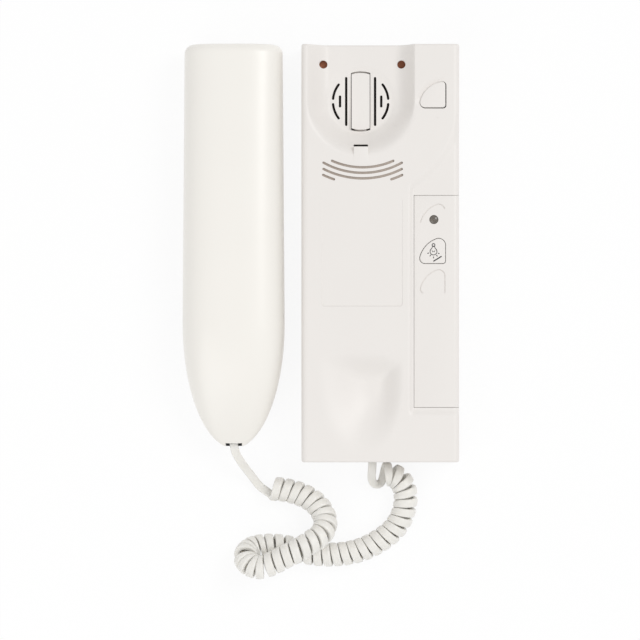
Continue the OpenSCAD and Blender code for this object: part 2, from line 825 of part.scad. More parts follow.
module front_cover() color(WHITE) difference() {
    union() {
        difference() {
            intersection() {
                along_y(bottom, top) cover_profile(0, station_d, edge_r);
                slab(station_w, station_h, corner_r, 0, station_d + over);
            }
            cover_cavity();
            ear_scoop(0);
            mouth_scoop(0);
            lowered_zone();
            panel_seat(0);
            sounder_slots();
        }
        tongue();
        hook_lugs();
        board_posts(post_r, board_top, cover_roof - panel_drop + root);
        translate([sounder_x, sounder_y, 0])
            tube(sounder_ring_r + ring_t, sounder_ring_r, cover_roof - sounder_ring_h, cover_roof);
    }
    hook_opening(hook_side_gap, hook_end_gap);
    ear_grille();
    box([cradle_x - tongue_w / 2, tongue_tip, floor_under - over],
        [cradle_x + tongue_w / 2, tongue_tip + tongue_slot, station_d + over]);
    translate([key_x, door_y, seat_roof - over]) linear_extrude(station_d) key_face(key_gap);
    translate([key_x, door_y, seat_roof - over]) linear_extrude(cover_roof - panel_drop - seat_roof + over)
        key_face(2 * key_gap + flange_w);
    // Window in the panel's seat for the light key and the status light
    box([column_x + window_rim, light_y - window_foot, skirt_foot],
        [right - skirt_in - fit - wall - root, panel_top - window_foot, panel_z]);
    box([label_x - label_w / 2, label_foot, station_d - label_depth],
        [label_x + label_w / 2, label_foot + label_h, station_d + over]);
    translate([cradle_x, pivot_y, pivot_z]) rotate([0, 90, 0])
        cylinder(h = hook_w + 4 * lug_t, r = pin_d / 2, center = true);
    board_posts(board_screw_d / 2 + thread_play, board_top - over, board_top + board_screw_l + over);
    plug_opening(jack_x, jack_z, bottom - over, bottom + wall + over);
    translate([cover_screw_x, bottom - over, cover_screw_z]) rotate([-90, 0, 0])
        cylinder(h = wall + 2 * over, r = cover_screw_d / 2 + fit);
    translate([cover_screw_x, bottom - over, cover_screw_z]) rotate([-90, 0, 0])
        cylinder(h = cover_sink + over, r = cover_head_r + fit);
}

module rear_tray() color(WHITE) difference() {
    inner_w = station_w - 2 * wall;
    inner_h = station_h - 2 * wall;
    lip_w = inner_w - 2 * fit;
    lip_l = inner_h - 2 * fit;
    union() {
        difference() {
            slab(station_w, station_h, corner_r, 0, tray_d);
            slab(inner_w, inner_h, inner_r, plate_t, tray_d + over);
        }
        difference() {
            slab(lip_w, lip_l, inner_r, plate_t - root, tray_d + lip_h);
            slab(lip_w - 2 * lip_t, lip_l - 2 * lip_t, inner_r, plate_t - over, tray_d + lip_h + over);
        }
        // Web that ties the lip to the wall
        difference() {
            slab(inner_w + 2 * root, inner_h + 2 * root, inner_r, plate_t - root, tray_d - over);
            slab(lip_w - 2 * root, lip_l - 2 * root, inner_r, plate_t - over, tray_d);
        }
        // Seat of the jack, boss of the cover screw, peg of the hook spring, rests of the board
        box([jack_x - jack_w / 2, bottom + wall + fit, plate_t - root],
            [jack_x + jack_w / 2, bottom + wall + fit + jack_l, jack_z - jack_h / 2]);
        box([cover_screw_x - screw_block_w / 2, bottom + wall + fit, plate_t - root],
            [cover_screw_x + screw_block_w / 2, bottom + wall + screw_block_l,
                cover_screw_z + screw_block_rise]);
        translate([cradle_x, pivot_y - spring_out, plate_t - root])
            cylinder(h = peg_h + root, r = hook_spring_r - wire_d / 2 - peg_play, $fn = 32);
        for (y = [board_head - board_rest_in, board_foot + board_rest_in])
            translate([board_left + board_rest_in, y, plate_t - root])
                cylinder(h = board_under - plate_t + root, r = board_rest_r, $fn = 32);
    }
    for (x = [-1, 1], y = [-1, 1]) translate([x * wall_screw_x / 2, y * wall_screw_y / 2, -over])
        cylinder(h = plate_t + 2 * over, r = wall_screw_d / 2);
    translate([cradle_x, entry_y, -over]) cylinder(h = plate_t + 2 * over, r = cable_entry_d / 2);
    plug_opening(jack_x, jack_z, bottom - over, bottom + wall + fit + lip_t + root);
    box([jack_x - jack_w / 2 - fit, bottom + wall, jack_z - jack_h / 2],
        [jack_x + jack_w / 2 + fit, bottom + wall + fit + jack_l, jack_z + jack_h]);
    translate([cover_screw_x, bottom, cover_screw_z]) rotate([-90, 0, 0])
        cylinder(h = wall + screw_block_l + over, r = cover_screw_d / 2 + thread_play, $fn = 32);
}

module side_panel() color(WHITE) difference() {
    along_y(panel_bottom, panel_top) {
        translate([column_x, panel_z - panel_t]) square([right - edge_r - column_x, panel_t]);
        translate([right - skirt_t, skirt_foot]) square([skirt_t, panel_z - edge_r - skirt_foot]);
        intersection() {
            translate([right - edge_r, panel_z - edge_r]) circle(edge_r);
            translate([right - edge_r, panel_z - edge_r]) square(edge_r + over);
        }
    }
    translate([key_x, light_y, panel_z - panel_t - over])
        linear_extrude(panel_t + 2 * over) key_face(key_gap);
    translate([lamp_x, lamp_y, panel_z - panel_t - over])
        cylinder(h = panel_t + 2 * over, r = lamp_d / 2 + lamp_play);
    // Outlines of the two unused key places
    for (y = [light_y + key_pitch, light_y - key_pitch])
        translate([key_x, y, panel_z - blank_depth]) linear_extrude(over) difference() {
            key_face(0);
            key_face(-blank_w);
        }
}

// A key's cap, with a flange below the face that it comes through
module key_cap(y, face, under) {
    translate([key_x, y, 0]) {
        foot = under - key_flange_play - flange_t;
        translate([0, 0, foot]) linear_extrude(flange_t) key_face(flange_w);
        translate([0, 0, foot]) linear_extrude(face + key_rise - foot) key_face(0);
    }
}

module key_stem(y, under) {
    foot = board_top + switch_floor + key_travel + spring_gap;
    translate([key_x - key_centre, y + key_centre, foot])
        cylinder(h = under - key_flange_play - flange_t - foot, r = stem_d / 2, $fn = 32);
}

module key_switch(y) {
    translate([key_x - key_centre, y + key_centre, 0]) difference() {
        box([-switch_side / 2, -switch_side / 2, board_top],
            [switch_side / 2, switch_side / 2, board_top + switch_h]);
        translate([0, 0, board_top + switch_floor])
            cylinder(h = switch_h, r = stem_d / 2 + stem_play, $fn = 32);
    }
}

module key_spring(y, under) {
    translate([key_x - key_centre, y + key_centre, 0]) wire_spring(key_spring_r,
        board_top + switch_h + spring_gap, under - key_flange_play - flange_t - spring_gap, key_spring_turns);
}

module door_key() color(WHITE) key_cap(door_y, station_d, door_under);
module door_key_stem() color(DARK) key_stem(door_y, door_under);
module door_key_spring() color(STEEL) key_spring(door_y, door_under);
module door_switch() color(DARK) key_switch(door_y);
module light_key() color(WHITE) key_cap(light_y, panel_z, light_under);
module light_key_stem() color(DARK) key_stem(light_y, light_under);
module light_key_spring() color(STEEL) key_spring(light_y, light_under);
module light_switch() color(DARK) key_switch(light_y);

module status_light() color([0.43, 0.41, 0.38]) translate([lamp_x, lamp_y, 0]) {
    foot = board_top + sleeve_h;
    translate([0, 0, foot]) cylinder(h = panel_z - lamp_rim - foot, r = lamp_d / 2);
    intersection() {
        translate([0, 0, panel_z + lamp_rise - lamp_d]) sphere(lamp_d);
        translate([0, 0, panel_z - lamp_rim]) cylinder(h = lamp_d, r = lamp_d / 2);
    }
}

module status_light_sleeve() color(DARK) translate([lamp_x, lamp_y, 0])
    tube(lamp_d / 2 + sleeve_t, lamp_d / 2 - sleeve_bore, board_top, board_top + sleeve_h);

module hook_lever() color(WHITE) difference() {
    head = ear_y + hook_r;
    foot = ear_y - hook_r;
    boss_under = pivot_z - boss_r + 0.4;
    nose_y = pivot_y - nose_out;
    spring_y = pivot_y - spring_out;
    spring_room = hook_spring_r + wire_d / 2 + 0.6;
    union() {
        // Pad in the cradle's floor, its lower end proud, with the spring's seat below
        intersection() {
            translate([cradle_x, ear_y, 0]) cylinder(h = station_d, r = hook_r);
            along_x(cradle_x - hook_w / 2, cradle_x + hook_w / 2) polygon([
                [head, floor_z + hook_flush], [foot, floor_z + hook_rise], [foot, floor_under - toe_t],
                [spring_y + spring_room, spring_seat], [nose_y, spring_seat - 1.2], [head, boss_under]]);
        }
        // Arm to the pin
        along_x(cradle_x - hook_w / 2, cradle_x + hook_w / 2) polygon([[pivot_y, pivot_z + boss_r],
            [head - arm_root, pivot_z + boss_r], [head - arm_root, boss_under], [pivot_y, pivot_z - boss_r]]);
        translate([cradle_x - hook_w / 2, pivot_y, pivot_z]) rotate([0, 90, 0])
            cylinder(h = hook_w, r = boss_r);
        // Nose that presses the switch, seat of the spring, and toe that stops the lever
        along_x(cradle_x - nose_w / 2, cradle_x + nose_w / 2) polygon([
            [nose_y - nose_w / 2, floor_under - toe_t],
            [nose_y - nose_w / 4, nose_foot], [nose_y + nose_w / 4, nose_foot],
            [nose_y + nose_w / 2, floor_under - toe_t]]);
        box([cradle_x - spring_room, spring_y - spring_room, spring_seat],
            [cradle_x + spring_room, spring_y + spring_room, floor_under - toe_gap]);
        box([cradle_x - toe_w / 2, foot - toe_l, floor_under - toe_t],
            [cradle_x + toe_w / 2, foot + 2, floor_under - toe_gap]);
    }
    translate([cradle_x, pivot_y, pivot_z]) rotate([0, 90, 0])
        cylinder(h = hook_w + 2 * over, r = pin_d / 2 + pin_play, center = true);
}

module hook_pin() color(STEEL) translate([cradle_x, pivot_y, pivot_z]) rotate([0, 90, 0])
    cylinder(h = hook_w + 2 * (lug_gap + lug_t), r = pin_d / 2, center = true);

module hook_spring() color(STEEL) translate([cradle_x, pivot_y - spring_out, 0])
    wire_spring(hook_spring_r, plate_t + spring_gap, spring_seat - spring_gap, hook_spring_turns);

module hook_switch() color(DARK) translate([cradle_x, pivot_y - nose_out, 0]) difference() {
    box([-hook_switch_w / 2, -hook_switch_low, plate_t],
        [hook_switch_w / 2, hook_switch_up, plate_t + hook_switch_h]);
    translate([0, 0, plate_t + plunger_floor])
        cylinder(h = hook_switch_h, r = plunger_d / 2 + plunger_play, $fn = 32);
}

module hook_plunger() color([0.75, 0.2, 0.15])
        translate([cradle_x, pivot_y - nose_out, plate_t + plunger_foot])
    cylinder(h = nose_foot - plunger_gap - plate_t - plunger_foot, r = plunger_d / 2, $fn = 32);

module circuit_board() color(BROWN) difference() {
    union() {
        box([board_left, board_foot, board_under], [board_right, board_head, board_top]);
        box([column_left, column_foot, board_under], [board_right, board_foot + over, board_top]);
    }
    // Window for the hook lever, wider below
    box([cradle_x - hook_w / 2 - hook_window, ear_y - over, board_under - over],
        [cradle_x + hook_w / 2 + hook_window, pivot_y + boss_r + 0.8, board_top + over]);
    box([cradle_x - lever_window, board_foot - over, board_under - over],
        [cradle_x + lever_window, ear_y + 2, board_top + over]);
    board_posts(board_screw_d / 2 + board_screw_play, board_under - over, board_top + over);
}

module board_screws() color(STEEL) {
    board_posts(board_screw_d / 2, board_under - root, board_top + board_screw_l);
    board_posts(board_screw_d / 2 + board_screw_rim, board_under - board_screw_head, board_under);
}

module board_capacitors() color([0.12, 0.2, 0.36]) {
    for (can = large_cans) translate([can[0], can[1], board_under - large_can_h])
        cylinder(h = large_can_h, r = can[2], $fn = 48);
    for (s = [-1, 1]) translate([cradle_x + s * small_can_x, ear_y + small_can_y, board_under - small_can_h])
        cylinder(h = small_can_h, r = small_can_r, $fn = 48);
}

module board_resistors() color([0.76, 0.62, 0.42]) for (i = [0 : resistors - 1])
    translate([resistor_x, resistor_y - resistor_pitch * i, board_under - resistor_r - resistor_gap])
        rotate([0, 90, 0])
        cylinder(h = resistor_l, r = resistor_r, center = true, $fn = 32);

module board_transformer() color([0.85, 0.7, 0.3])
        translate([transformer_at[0], transformer_at[1], board_under]) {
    translate([0, 0, -core_size[2] / 2]) cube(core_size, center = true);
    translate([0, 0, -winding_drop - winding_size[2] / 2]) cube(winding_size, center = true);
}

module sounder_basket() color(STEEL) translate([sounder_x, sounder_y, 0]) rotate_extrude() {
    inner = sounder_d / 2 - basket_rim;
    foot = sounder_top - sounder_h;
    translate([inner, sounder_top - basket_t - 0.3]) square([basket_rim, basket_t + 0.3]);
    polygon([[inner, sounder_top], [inner - basket_slope, sounder_top], [basket_foot_r, foot + basket_t],
        [basket_foot_r, foot], [basket_foot_r + basket_slope, foot], [inner, sounder_top - basket_t - 0.7]]);
    translate([basket_hole_r, foot]) square([basket_foot_r + basket_slope / 2 - basket_hole_r, basket_t]);
}

module sounder_cone() color([0.2, 0.18, 0.16]) translate([sounder_x, sounder_y, 0]) rotate_extrude() {
    rim = sounder_top - cone_gap;
    r = sounder_d / 2 - basket_rim - cone_clear;
    polygon([[0, rim - cone_depth + cone_t], [cone_cap_r, rim - cone_depth], [r, rim - cone_t], [r, rim],
        [cone_cap_r, rim - cone_depth + cone_t + 0.1], [0, rim - cone_depth + cone_t + cone_cap_h]]);
}

module sounder_magnet() color(DARK) translate([sounder_x, sounder_y, sounder_top - sounder_h]) {
    translate([0, 0, -magnet_h]) cylinder(h = magnet_h, r = magnet_r);
    translate([0, 0, -0.1]) cylinder(h = pole_h, r = pole_r);
}

module sounder_cloth() color([0.62, 0.55, 0.5])
    box([smile_x - cloth_w / 2, cloth_low, cloth_top - cloth_t],
        [smile_x + cloth_w / 2, cloth_high, cloth_top]);

// Terminals for the wires from the wall
function terminal_at(i) = (i - (terminals - 1) / 2) * terminal_pitch;
module terminal_block() color([0.9, 0.9, 0.88]) translate([cradle_x, terminal_y, plate_t]) difference() {
    half = terminals * terminal_pitch / 2 + over;
    box([-half, -terminal_w / 2, 0], [half, terminal_w / 2, terminal_h]);
    for (i = [0 : terminals - 1]) translate([terminal_at(i), 0, 0]) {
        translate([0, 0, terminal_seat]) cylinder(h = terminal_h, r = terminal_screw_r + 0.1, $fn = 32);
        translate([0, -terminal_w / 2 - over, terminal_wire_z]) rotate([-90, 0, 0])
            cylinder(h = terminal_w / 2, r = terminal_wire_r, $fn = 32);
    }
}

module terminal_screws() color(STEEL) for (i = [0 : terminals - 1])
    translate([cradle_x + terminal_at(i), terminal_y, plate_t + terminal_seat]) difference() {
        cylinder(h = terminal_screw_h, r = terminal_screw_r, $fn = 32);
        box([-terminal_screw_r - over, -drive_w / 2, terminal_screw_h - drive_depth],
            [terminal_screw_r + over, drive_w / 2, terminal_screw_h + over]);
    }

module inner_wires() color([0.7, 0.12, 0.1]) for (i = [0 : 2]) {
    x = cradle_x + terminal_pitch + wire_pitch * i;
    y = terminal_y + terminal_w / 2 + wire_run - wire_pitch * i;
    end_x = column_left + wire_bend + wire_pitch * i;
    low = plate_t + terminal_h - wire_under_block;
    wire([[x, terminal_y + terminal_w / 2 + wire_gap, low], [x, y - wire_bend, low],
        [x + wire_bend_out, y, low + wire_bend_up],
        [end_x - wire_rise_in, y, board_under - wire_bend - wire_rise], [end_x, y, board_under - wire_bend],
        [end_x, y, board_under - wire_gap]], inner_wire_d);
}

module cover_screw() color(STEEL)
        translate([cover_screw_x, bottom + cover_sink, cover_screw_z]) rotate([-90, 0, 0]) difference() {
    union() {
        translate([0, 0, -cover_head_h]) cylinder(h = cover_head_h, r = cover_head_r);
        translate([0, 0, -root]) cylinder(h = wall + cover_screw_l - cover_sink, r = cover_screw_d / 2);
    }
    for (a = [0, 90]) rotate([0, 0, a])
        box([-cover_head_r + over, -drive_w / 2, -2 * over],
            [cover_head_r - over, drive_w / 2, drive_depth - cover_head_h]);
}

// Jack and plug: the mouth of the jack and the cord's end of the plug face down the Y axis
module jack_body(x, y, z) translate([x, y, z]) difference() {
    box([-jack_w / 2, 0, -jack_h / 2], [jack_w / 2, jack_l, jack_h / 2]);
    box([-plug_w / 2 - plug_play, -over, -plug_h / 2 - plug_play],
        [plug_w / 2 + plug_play, plug_l + plug_play, plug_h / 2 + plug_play]);
}
module plug_body(x, y, z) translate([x, y, z]) difference() {
    box([-plug_w / 2, 0, -plug_h / 2], [plug_w / 2, plug_l, plug_h / 2]);
    for (i = [-1.5 : 1.5]) translate([i * contact_pitch, 0, 0])
        box([-contact_slot / 2, plug_l - contact_l, plug_h / 2 - contact_depth],
            [contact_slot / 2, plug_l + over, plug_h / 2 + over]);
    // Slits beside the latch
    for (s = [-1, 1]) translate([s * latch_x, 0, 0])
        box([-latch_slot / 2, plug_l / 4, -plug_h / 2 - over],
            [latch_slot / 2, plug_l - 2 * over, -plug_h / 2 + over]);
}

module station_jack() color(DARK) jack_body(jack_x, bottom + wall + fit, jack_z);
module station_plug() color(CLEAR) plug_body(jack_x, bottom + plug_in, jack_z);

// Handset: both shells are lofted from one set of cross sections along its length

function nose_share(t) = t >= nose_l ? 1 : sqrt(max(0, 1 - pow((nose_l - t) / nose_l, 2)));
function end_inset(t, r) = let (d = t - (handset_l - r)) d <= 0 ? 0 : r - sqrt(max(0, r * r - d * d));
function half_width(t) = (t < nose_l ? handset_w / 2 * nose_share(t)
    : handset_w / 2 + (handset_end_w - handset_w) / 2 * (t - nose_l) / (handset_l - nose_l))
    - end_inset(t, handset_corner);
function back_height(t) = crown_h * pow(nose_share(t), 2)
    - (t < nose_l ? 0 : crown_fall * pow((t - nose_l) / (handset_l - nose_l), 2))
    - end_inset(t, handset_corner);
function front_depth(t) = let (full = seam_z, grip = seam_z - grip_z)
    t < mouth_zone ? full * sqrt(max(0, 1 - pow((mouth_zone - t) / mouth_zone, 2)))
    : grip + (full - grip) * max(1 - ease((t - mouth_zone - mouth_flat) / mouth_slope),
        ease((t - (handset_l - ear_zone - ear_slope)) / ear_slope)) - end_inset(t, handset_corner);

// Half a cross section at distance t from the mouth end, the back's for side 1 and the front's for side -1
function half_section(t, side, inset) = let (
    w = max(0.2, half_width(t) - inset),
    h = max(0.2, (side > 0 ? back_height(t) : front_depth(t)) - inset),
    p = 2 / (side > 0 ? back_power : front_power),
    count = 14)
    [for (i = [0 : count]) let (a = 180 * i / count)
        [handset_x + w * signed_power(cos(a), p), tip_y + t, seam_z + side * h * signed_power(sin(a), p)]];

// Distances along the handset at which its sections are drawn, kept inset from both ends
function stations(inset) = concat(
    [for (i = [1 : 11]) inset + (nose_l - inset) * (1 - cos(90 * i / 11.5))],
    [for (i = [0 : 19]) nose_l + (handset_l - handset_corner - nose_l - inset / 2) * i / 19.5],
    [for (i = [0 : 4]) handset_l - inset - (handset_corner - inset / 2) * (1 - sin(84 * i / 4))]);

module half_shell(side) {
    start = 0.12;
    outer = [for (t = concat([start], stations(0))) half_section(t, side, 0)];
    inner = [for (t = stations(shell_t)) concat(half_section(t, side, shell_t),
        [half_section(t, side, shell_t)[14] - [0, 0, side],
            half_section(t, side, shell_t)[0] - [0, 0, side]])];
    difference() {
        turned_loft(outer, side);
        turned_loft(inner, side);
    }
}

module turned_loft(rings, side) {
    loft(side > 0 ? [for (r = rings) [for (i = [len(r) - 1 : -1 : 0]) r[i]]] : rings);
}

module screw_columns(r, z0, z1) {
    for (y = screw_y) translate([handset_x, y, z0]) cylinder(h = z1 - z0, r = r, $fn = 32);
}

module weight_posts(z0, z1) {
    for (s = [-1, 1], e = [-1, 1])
        translate([handset_x + s * (weight_w / 2 - weight_post_in),
                weight_y + e * (weight_l / 2 - weight_post_in - weight_post_r), z0])
            cylinder(h = z1 - z0, r = weight_post_r, $fn = 32);
}

module handset_back() color(HANDSET_WHITE) difference() {
    union() {
        half_shell(1);
        screw_columns(screw_boss_r, seam_z + boss_meet + 0.05, handset_t - shell_t + post_root);
        weight_posts(weight_z + weight_t + weight_play, handset_t - shell_t + post_root);
    }
    screw_columns(handset_screw_d / 2 + thread_play, seam_z, seam_z + screw_reach + over);
    plug_opening(handset_x, handset_jack_z, tip_y - over, handset_jack_y);
}

module handset_front() color(HANDSET_WHITE) difference() {
    union() {
        half_shell(-1);
        screw_columns(screw_tube_r, grip_z + screw_sink, seam_z + boss_meet);
        weight_posts(grip_z + shell_t - post_root, weight_z - weight_play / 2);
        translate([handset_x, ear_face, 0])
            tube(receiver_seat_r, receiver_seat_bore, shell_t - screw_sink, seat_h);
        translate([handset_x, mouth_face, 0])
            tube(microphone_d / 2 + boot_t + 0.2, microphone_d / 2 + 1, shell_t - screw_sink, seat_h);
    }
    screw_columns(handset_screw_d / 2 + screw_head_play, 0, seam_z + 2);
    screw_columns(handset_screw_d / 2 + screw_head_rim + screw_head_play, 0, grip_z + screw_seat);
    plug_opening(handset_x, handset_jack_z, tip_y - over, handset_jack_y);
    // Catch for the station's tongue, sound holes of the receiver and the microphone
    box([handset_x - tongue_w / 2 - catch_play, cradle_foot - tongue_root + catch_play, -over],
        [handset_x + tongue_w / 2 + catch_play, tongue_tip + 2 * catch_play, grip_z + shell_t + 2]);
    for (i = [0 : 6]) translate([handset_x, ear_face, -over]) rotate([0, 0, 60 * i])
        translate([i == 6 ? 0 : ear_hole_ring, 0, 0])
            cylinder(h = shell_t + 2 * over, r = ear_hole_r, $fn = 24);
    for (s = [-1, 0, 1]) translate([handset_x + mouth_hole_pitch * s, mouth_face, -over])
        cylinder(h = shell_t + 2 * over, r = mouth_hole_r, $fn = 24);
}

module receiver_capsule() color([0.75, 0.72, 0.66])
        translate([handset_x, ear_face, receiver_z]) rotate_extrude() {
    r = receiver_d / 2;
    polygon([[0, 0], [r - receiver_face_in, 0], [r, receiver_edge], [r, receiver_wall],
        [r - receiver_back_in, receiver_wall + receiver_step], [r - receiver_back_in, receiver_h],
        [0, receiver_h]]);
}

module receiver_gasket() color(DARK) translate([handset_x, ear_face, 0])
    tube(receiver_seat_r - 0.2, receiver_seat_bore + 0.2, seat_h + wire_gap, receiver_z - wire_gap);

module microphone_boot() color(DARK) translate([handset_x, mouth_face, seat_h + wire_gap]) difference() {
    cylinder(h = boot_h, r = microphone_d / 2 + boot_t);
    translate([0, 0, boot_floor]) cylinder(h = boot_h, r = microphone_d / 2 + plug_play);
    translate([0, 0, -over]) cylinder(h = boot_h, r = boot_hole_r);
}

module microphone_capsule() color(STEEL)
        translate([handset_x, mouth_face, seat_h + boot_floor + 2 * wire_gap]) {
    cylinder(h = microphone_h, r = microphone_d / 2);
    for (s = [-1, 1]) translate([s * pin_x, 0, microphone_h - root])
        cylinder(h = pin_l + root, r = pin_r, $fn = 24);
}

module balance_weight() color(STEEL)
    translate([handset_x, weight_y, weight_z + weight_t / 2])
        cube([weight_w, weight_l, weight_t], center = true);

module handset_screws() color(STEEL) difference() {
    union() {
        screw_columns(handset_screw_d / 2, grip_z + screw_head_z + root, seam_z + screw_reach);
        screw_columns(handset_screw_d / 2 + screw_head_rim, grip_z + screw_head_z,
            grip_z + screw_seat - wire_gap);
    }
    for (y = screw_y, a = [0, 90]) translate([handset_x, y, 0]) rotate([0, 0, a])
        box([-handset_screw_d / 2 - root, -drive_w / 2, 0],
            [handset_screw_d / 2 + root, drive_w / 2, grip_z + screw_head_z + drive_depth]);
}

module handset_jack() color(DARK) jack_body(handset_x, handset_jack_y, handset_jack_z);
module handset_plug() color(CLEAR) plug_body(handset_x, handset_plug_y, handset_jack_z);

// Wires from the jack to the microphone and along the grip to the receiver
module handset_wires() color([0.2, 0.4, 0.25]) {
    jack_end = handset_jack_y + jack_l + wire_gap;
    pins = seat_h + boot_floor + microphone_h + pin_l + 3 * wire_gap;
    inside = handset_w / 2 - 10;
    wire([[handset_x - 2, jack_end, seam_z], [handset_x - 2, jack_end + 3, seam_z],
        [handset_x - 1.6, mouth_face - 1.5, seam_z - 0.6],
        [handset_x - pin_x, mouth_face, pins + 0.2]], handset_wire_d);
    wire([[handset_x + 2, jack_end, seam_z], [handset_x + 4, jack_end + 6, seam_z + 3],
        [handset_x + inside - 2, mouth_face + 22, seam_z + 6], [handset_x + inside, screw_y[0], seam_z + 7],
        [handset_x + inside, screw_y[1], seam_z + 7], [handset_x + inside - 4, ear_face - 16, seam_z + 4],
        [handset_x + 5, ear_face - 4, seam_z + 1],
        [handset_x + 4, ear_face, receiver_z + receiver_h + 0.1]], handset_wire_d);
}

// Cord

function spline_point(p, i, u) = let (
    a = p[max(i - 1, 0)], b = p[i], c = p[i + 1], d = p[min(i + 2, len(p) - 1)])
    0.5 * (2 * b + (c - a) * u + (2 * a - 5 * b + 4 * c - d) * u * u + (3 * b - a - 3 * c + d) * u * u * u);
function spline(p, steps) = concat(
    flat([for (i = [0 : len(p) - 2]) [for (k = [0 : steps - 1]) spline_point(p, i, k / steps)]]),
    [p[len(p) - 1]]);
function running_sum(v) = [for (i = 0, s = 0; i <= len(v); s = s + (i < len(v) ? v[i] : 0), i = i + 1) s];

axis_line = spline(coil_axis, fine);
axis_steps = [for (i = [0 : len(axis_line) - 2]) norm(axis_line[i + 1] - axis_line[i])];
axis_run = running_sum(axis_steps);
axis_turn = axis_run[turning_point * fine];
// Share of a full rate of turning at each step: none where the hand changes, and easier round that tight bend
turn_rate = [for (i = [0 : len(axis_steps) - 1])
    let (d = abs((axis_run[i] + axis_run[i + 1]) / 2 - axis_turn))
    axis_steps[i] * min(1, d / turning_room) * (1 - turning_ease * exp(-pow(d / turning_reach, 2)))];
turn_run = running_sum(turn_rate);
turn_a = turn_run[turning_point * fine];
turn_b = turn_run[len(turn_run) - 1] - turn_a;
turns_a = curls_a + (start_angle - turning_angle) / 360;
turns_b = curls_b + (end_angle - turning_angle) / 360;
function curl_angle(i) = let (d = turn_run[i] - turn_a)
    turning_angle + 360 * (d < 0 ? -d / turn_a * turns_a : d / turn_b * turns_b);
// Distance along the cord itself, so that its rings can be spaced evenly
curl_steps = [for (i = [0 : len(axis_steps) - 1])
    norm([axis_steps[i], curl_r * PI / 180 * (curl_angle(i + 1) - curl_angle(i))])];
curl_run = running_sum(curl_steps);
curl_length = curl_run[len(curl_run) - 1];
curl_rings = round(8 * (turns_a + turns_b));
indices = [for (i = [0 : len(curl_run) - 1]) [curl_run[i], i]];

function along(list, i) = let (k = min(floor(i), len(list) - 2)) list[k] + (list[k + 1] - list[k]) * (i - k);
function along_angle(i) = let (k = min(floor(i), len(axis_line) - 2))
    curl_angle(k) + (curl_angle(k + 1) - curl_angle(k)) * (i - k);
function axis_tangent(i) = let (k = min(floor(i), len(axis_line) - 2),
    a = axis_line[max(k - 2, 0)], b = axis_line[min(k + 3, len(axis_line) - 1)]) unit(b - a);
function outward(i) = let (t = axis_tangent(i), n = unit(cross([0, 0, 1], t)), b = cross(t, n),
        a = along_angle(i))
    cos(a) * n + sin(a) * b;
curl_places = [for (r = [0 : curl_rings]) lookup(curl_length * r / curl_rings, indices)];
curl_out = [for (i = curl_places) outward(i)];
curl_mid = [for (r = [0 : curl_rings]) along(axis_line, curl_places[r]) + curl_r * curl_out[r]];

// The curls run straight for one cord width at both ends
first_dir = unit(handset_lead_points[len(handset_lead_points) - 1] - curl_mid[0]);
last_dir = let (d = curl_mid[curl_rings] - curl_mid[curl_rings - 1]) unit([d[0], d[1], 0]);
cord_mid = concat([curl_mid[0] + cord_w * first_dir], curl_mid, [curl_mid[curl_rings] + cord_w * last_dir]);
cord_out = concat([[0, 0, -1]], curl_out, [[0, 0, -1]]);
cord_last = len(cord_mid) - 1;
cord_dir = [for (i = [0 : cord_last])
    i == 0 ? -first_dir : i == cord_last ? last_dir : unit(cord_mid[i + 1] - cord_mid[i - 1])];

// Where a bend brings the curls together on its inner side, the soft cord is squeezed narrower
function to_segment(p, a, b) = let (d = b - a, u = clamp01((p - a) * d / (d * d))) norm(p - a - u * d);
cord_width = [for (i = [0 : cord_last]) min(concat([cord_w],
    [for (j = [max(0, i - 12) : min(cord_last - 1, i + 11)]) if (abs(j - i) > 4 && abs(j + 1 - i) > 4)
        to_segment(cord_mid[i], cord_mid[j], cord_mid[j + 1]) - cord_gap]))];

// Flattened section: width across the curls, thickness outwards
function section(mid, out, dir, width, sides) = let (o = unit(out - dir * (out * dir)), s = cross(dir, o))
    [for (k = [0 : sides - 1]) let (a = 360 * (k + 0.5) / sides)
        mid + width / 2 * signed_power(cos(a), 0.7) / pow(cos(180 / sides), 0.7) * s
        + cord_t / 2 * signed_power(sin(a), 0.7) * (sides == 6 ? 1 : 1 / pow(cos(22.5), 0.7)) * o];
cord_rings = [for (i = [0 : cord_last]) section(cord_mid[i], cord_out[i], cord_dir[i], cord_width[i], 6)];

// Least gap from the cord to itself, on the points of rings that are more than half a curl apart
function ring_gap(a, b) = min([for (p = a, q = b) norm(p - q)]);
function least_gap() = min([for (i = [0 : cord_last]) min(concat([coil_d], [for (j = [i + 5 : 1 : cord_last])
    if (norm(cord_mid[i] - cord_mid[j]) < 2 * cord_w) ring_gap(cord_rings[i], cord_rings[j])]))]);
function path_length(p) =
    let (s = running_sum([for (i = [0 : len(p) - 2]) norm(p[i + 1] - p[i])])) s[len(s) - 1];

module curly_cord() color(CORD_WHITE) {
    loft(cord_rings);
    echo(least_gap = least_gap(), lowest = min([for (r = cord_rings, p = r) p[2]]),
        narrowest = min(cord_width), cord_length = path_length(cord_mid)
            + path_length(handset_lead_points) + path_length(base_lead_points));
}

// A straight end: a smooth line through its points that meets the plug and the curls square
module lead(points, end_mid, end_dir) {
    line = spline(concat(points, [end_mid]), 3);
    last = len(line) - 1;
    loft([for (i = [0 : last])
        let (dir = i == 0 ? [0, -1, 0] : i == last ? end_dir : unit(line[i + 1] - line[i - 1]))
        section(line[i], i == last ? [0, 0, -1] : [0, dir[2], -1], dir, cord_w, 8)]);
}

module handset_lead() color(CORD_WHITE) lead(handset_lead_points, cord_mid[0], -first_dir);
module base_lead() color(CORD_WHITE) lead(base_lead_points, cord_mid[cord_last], -last_dir);

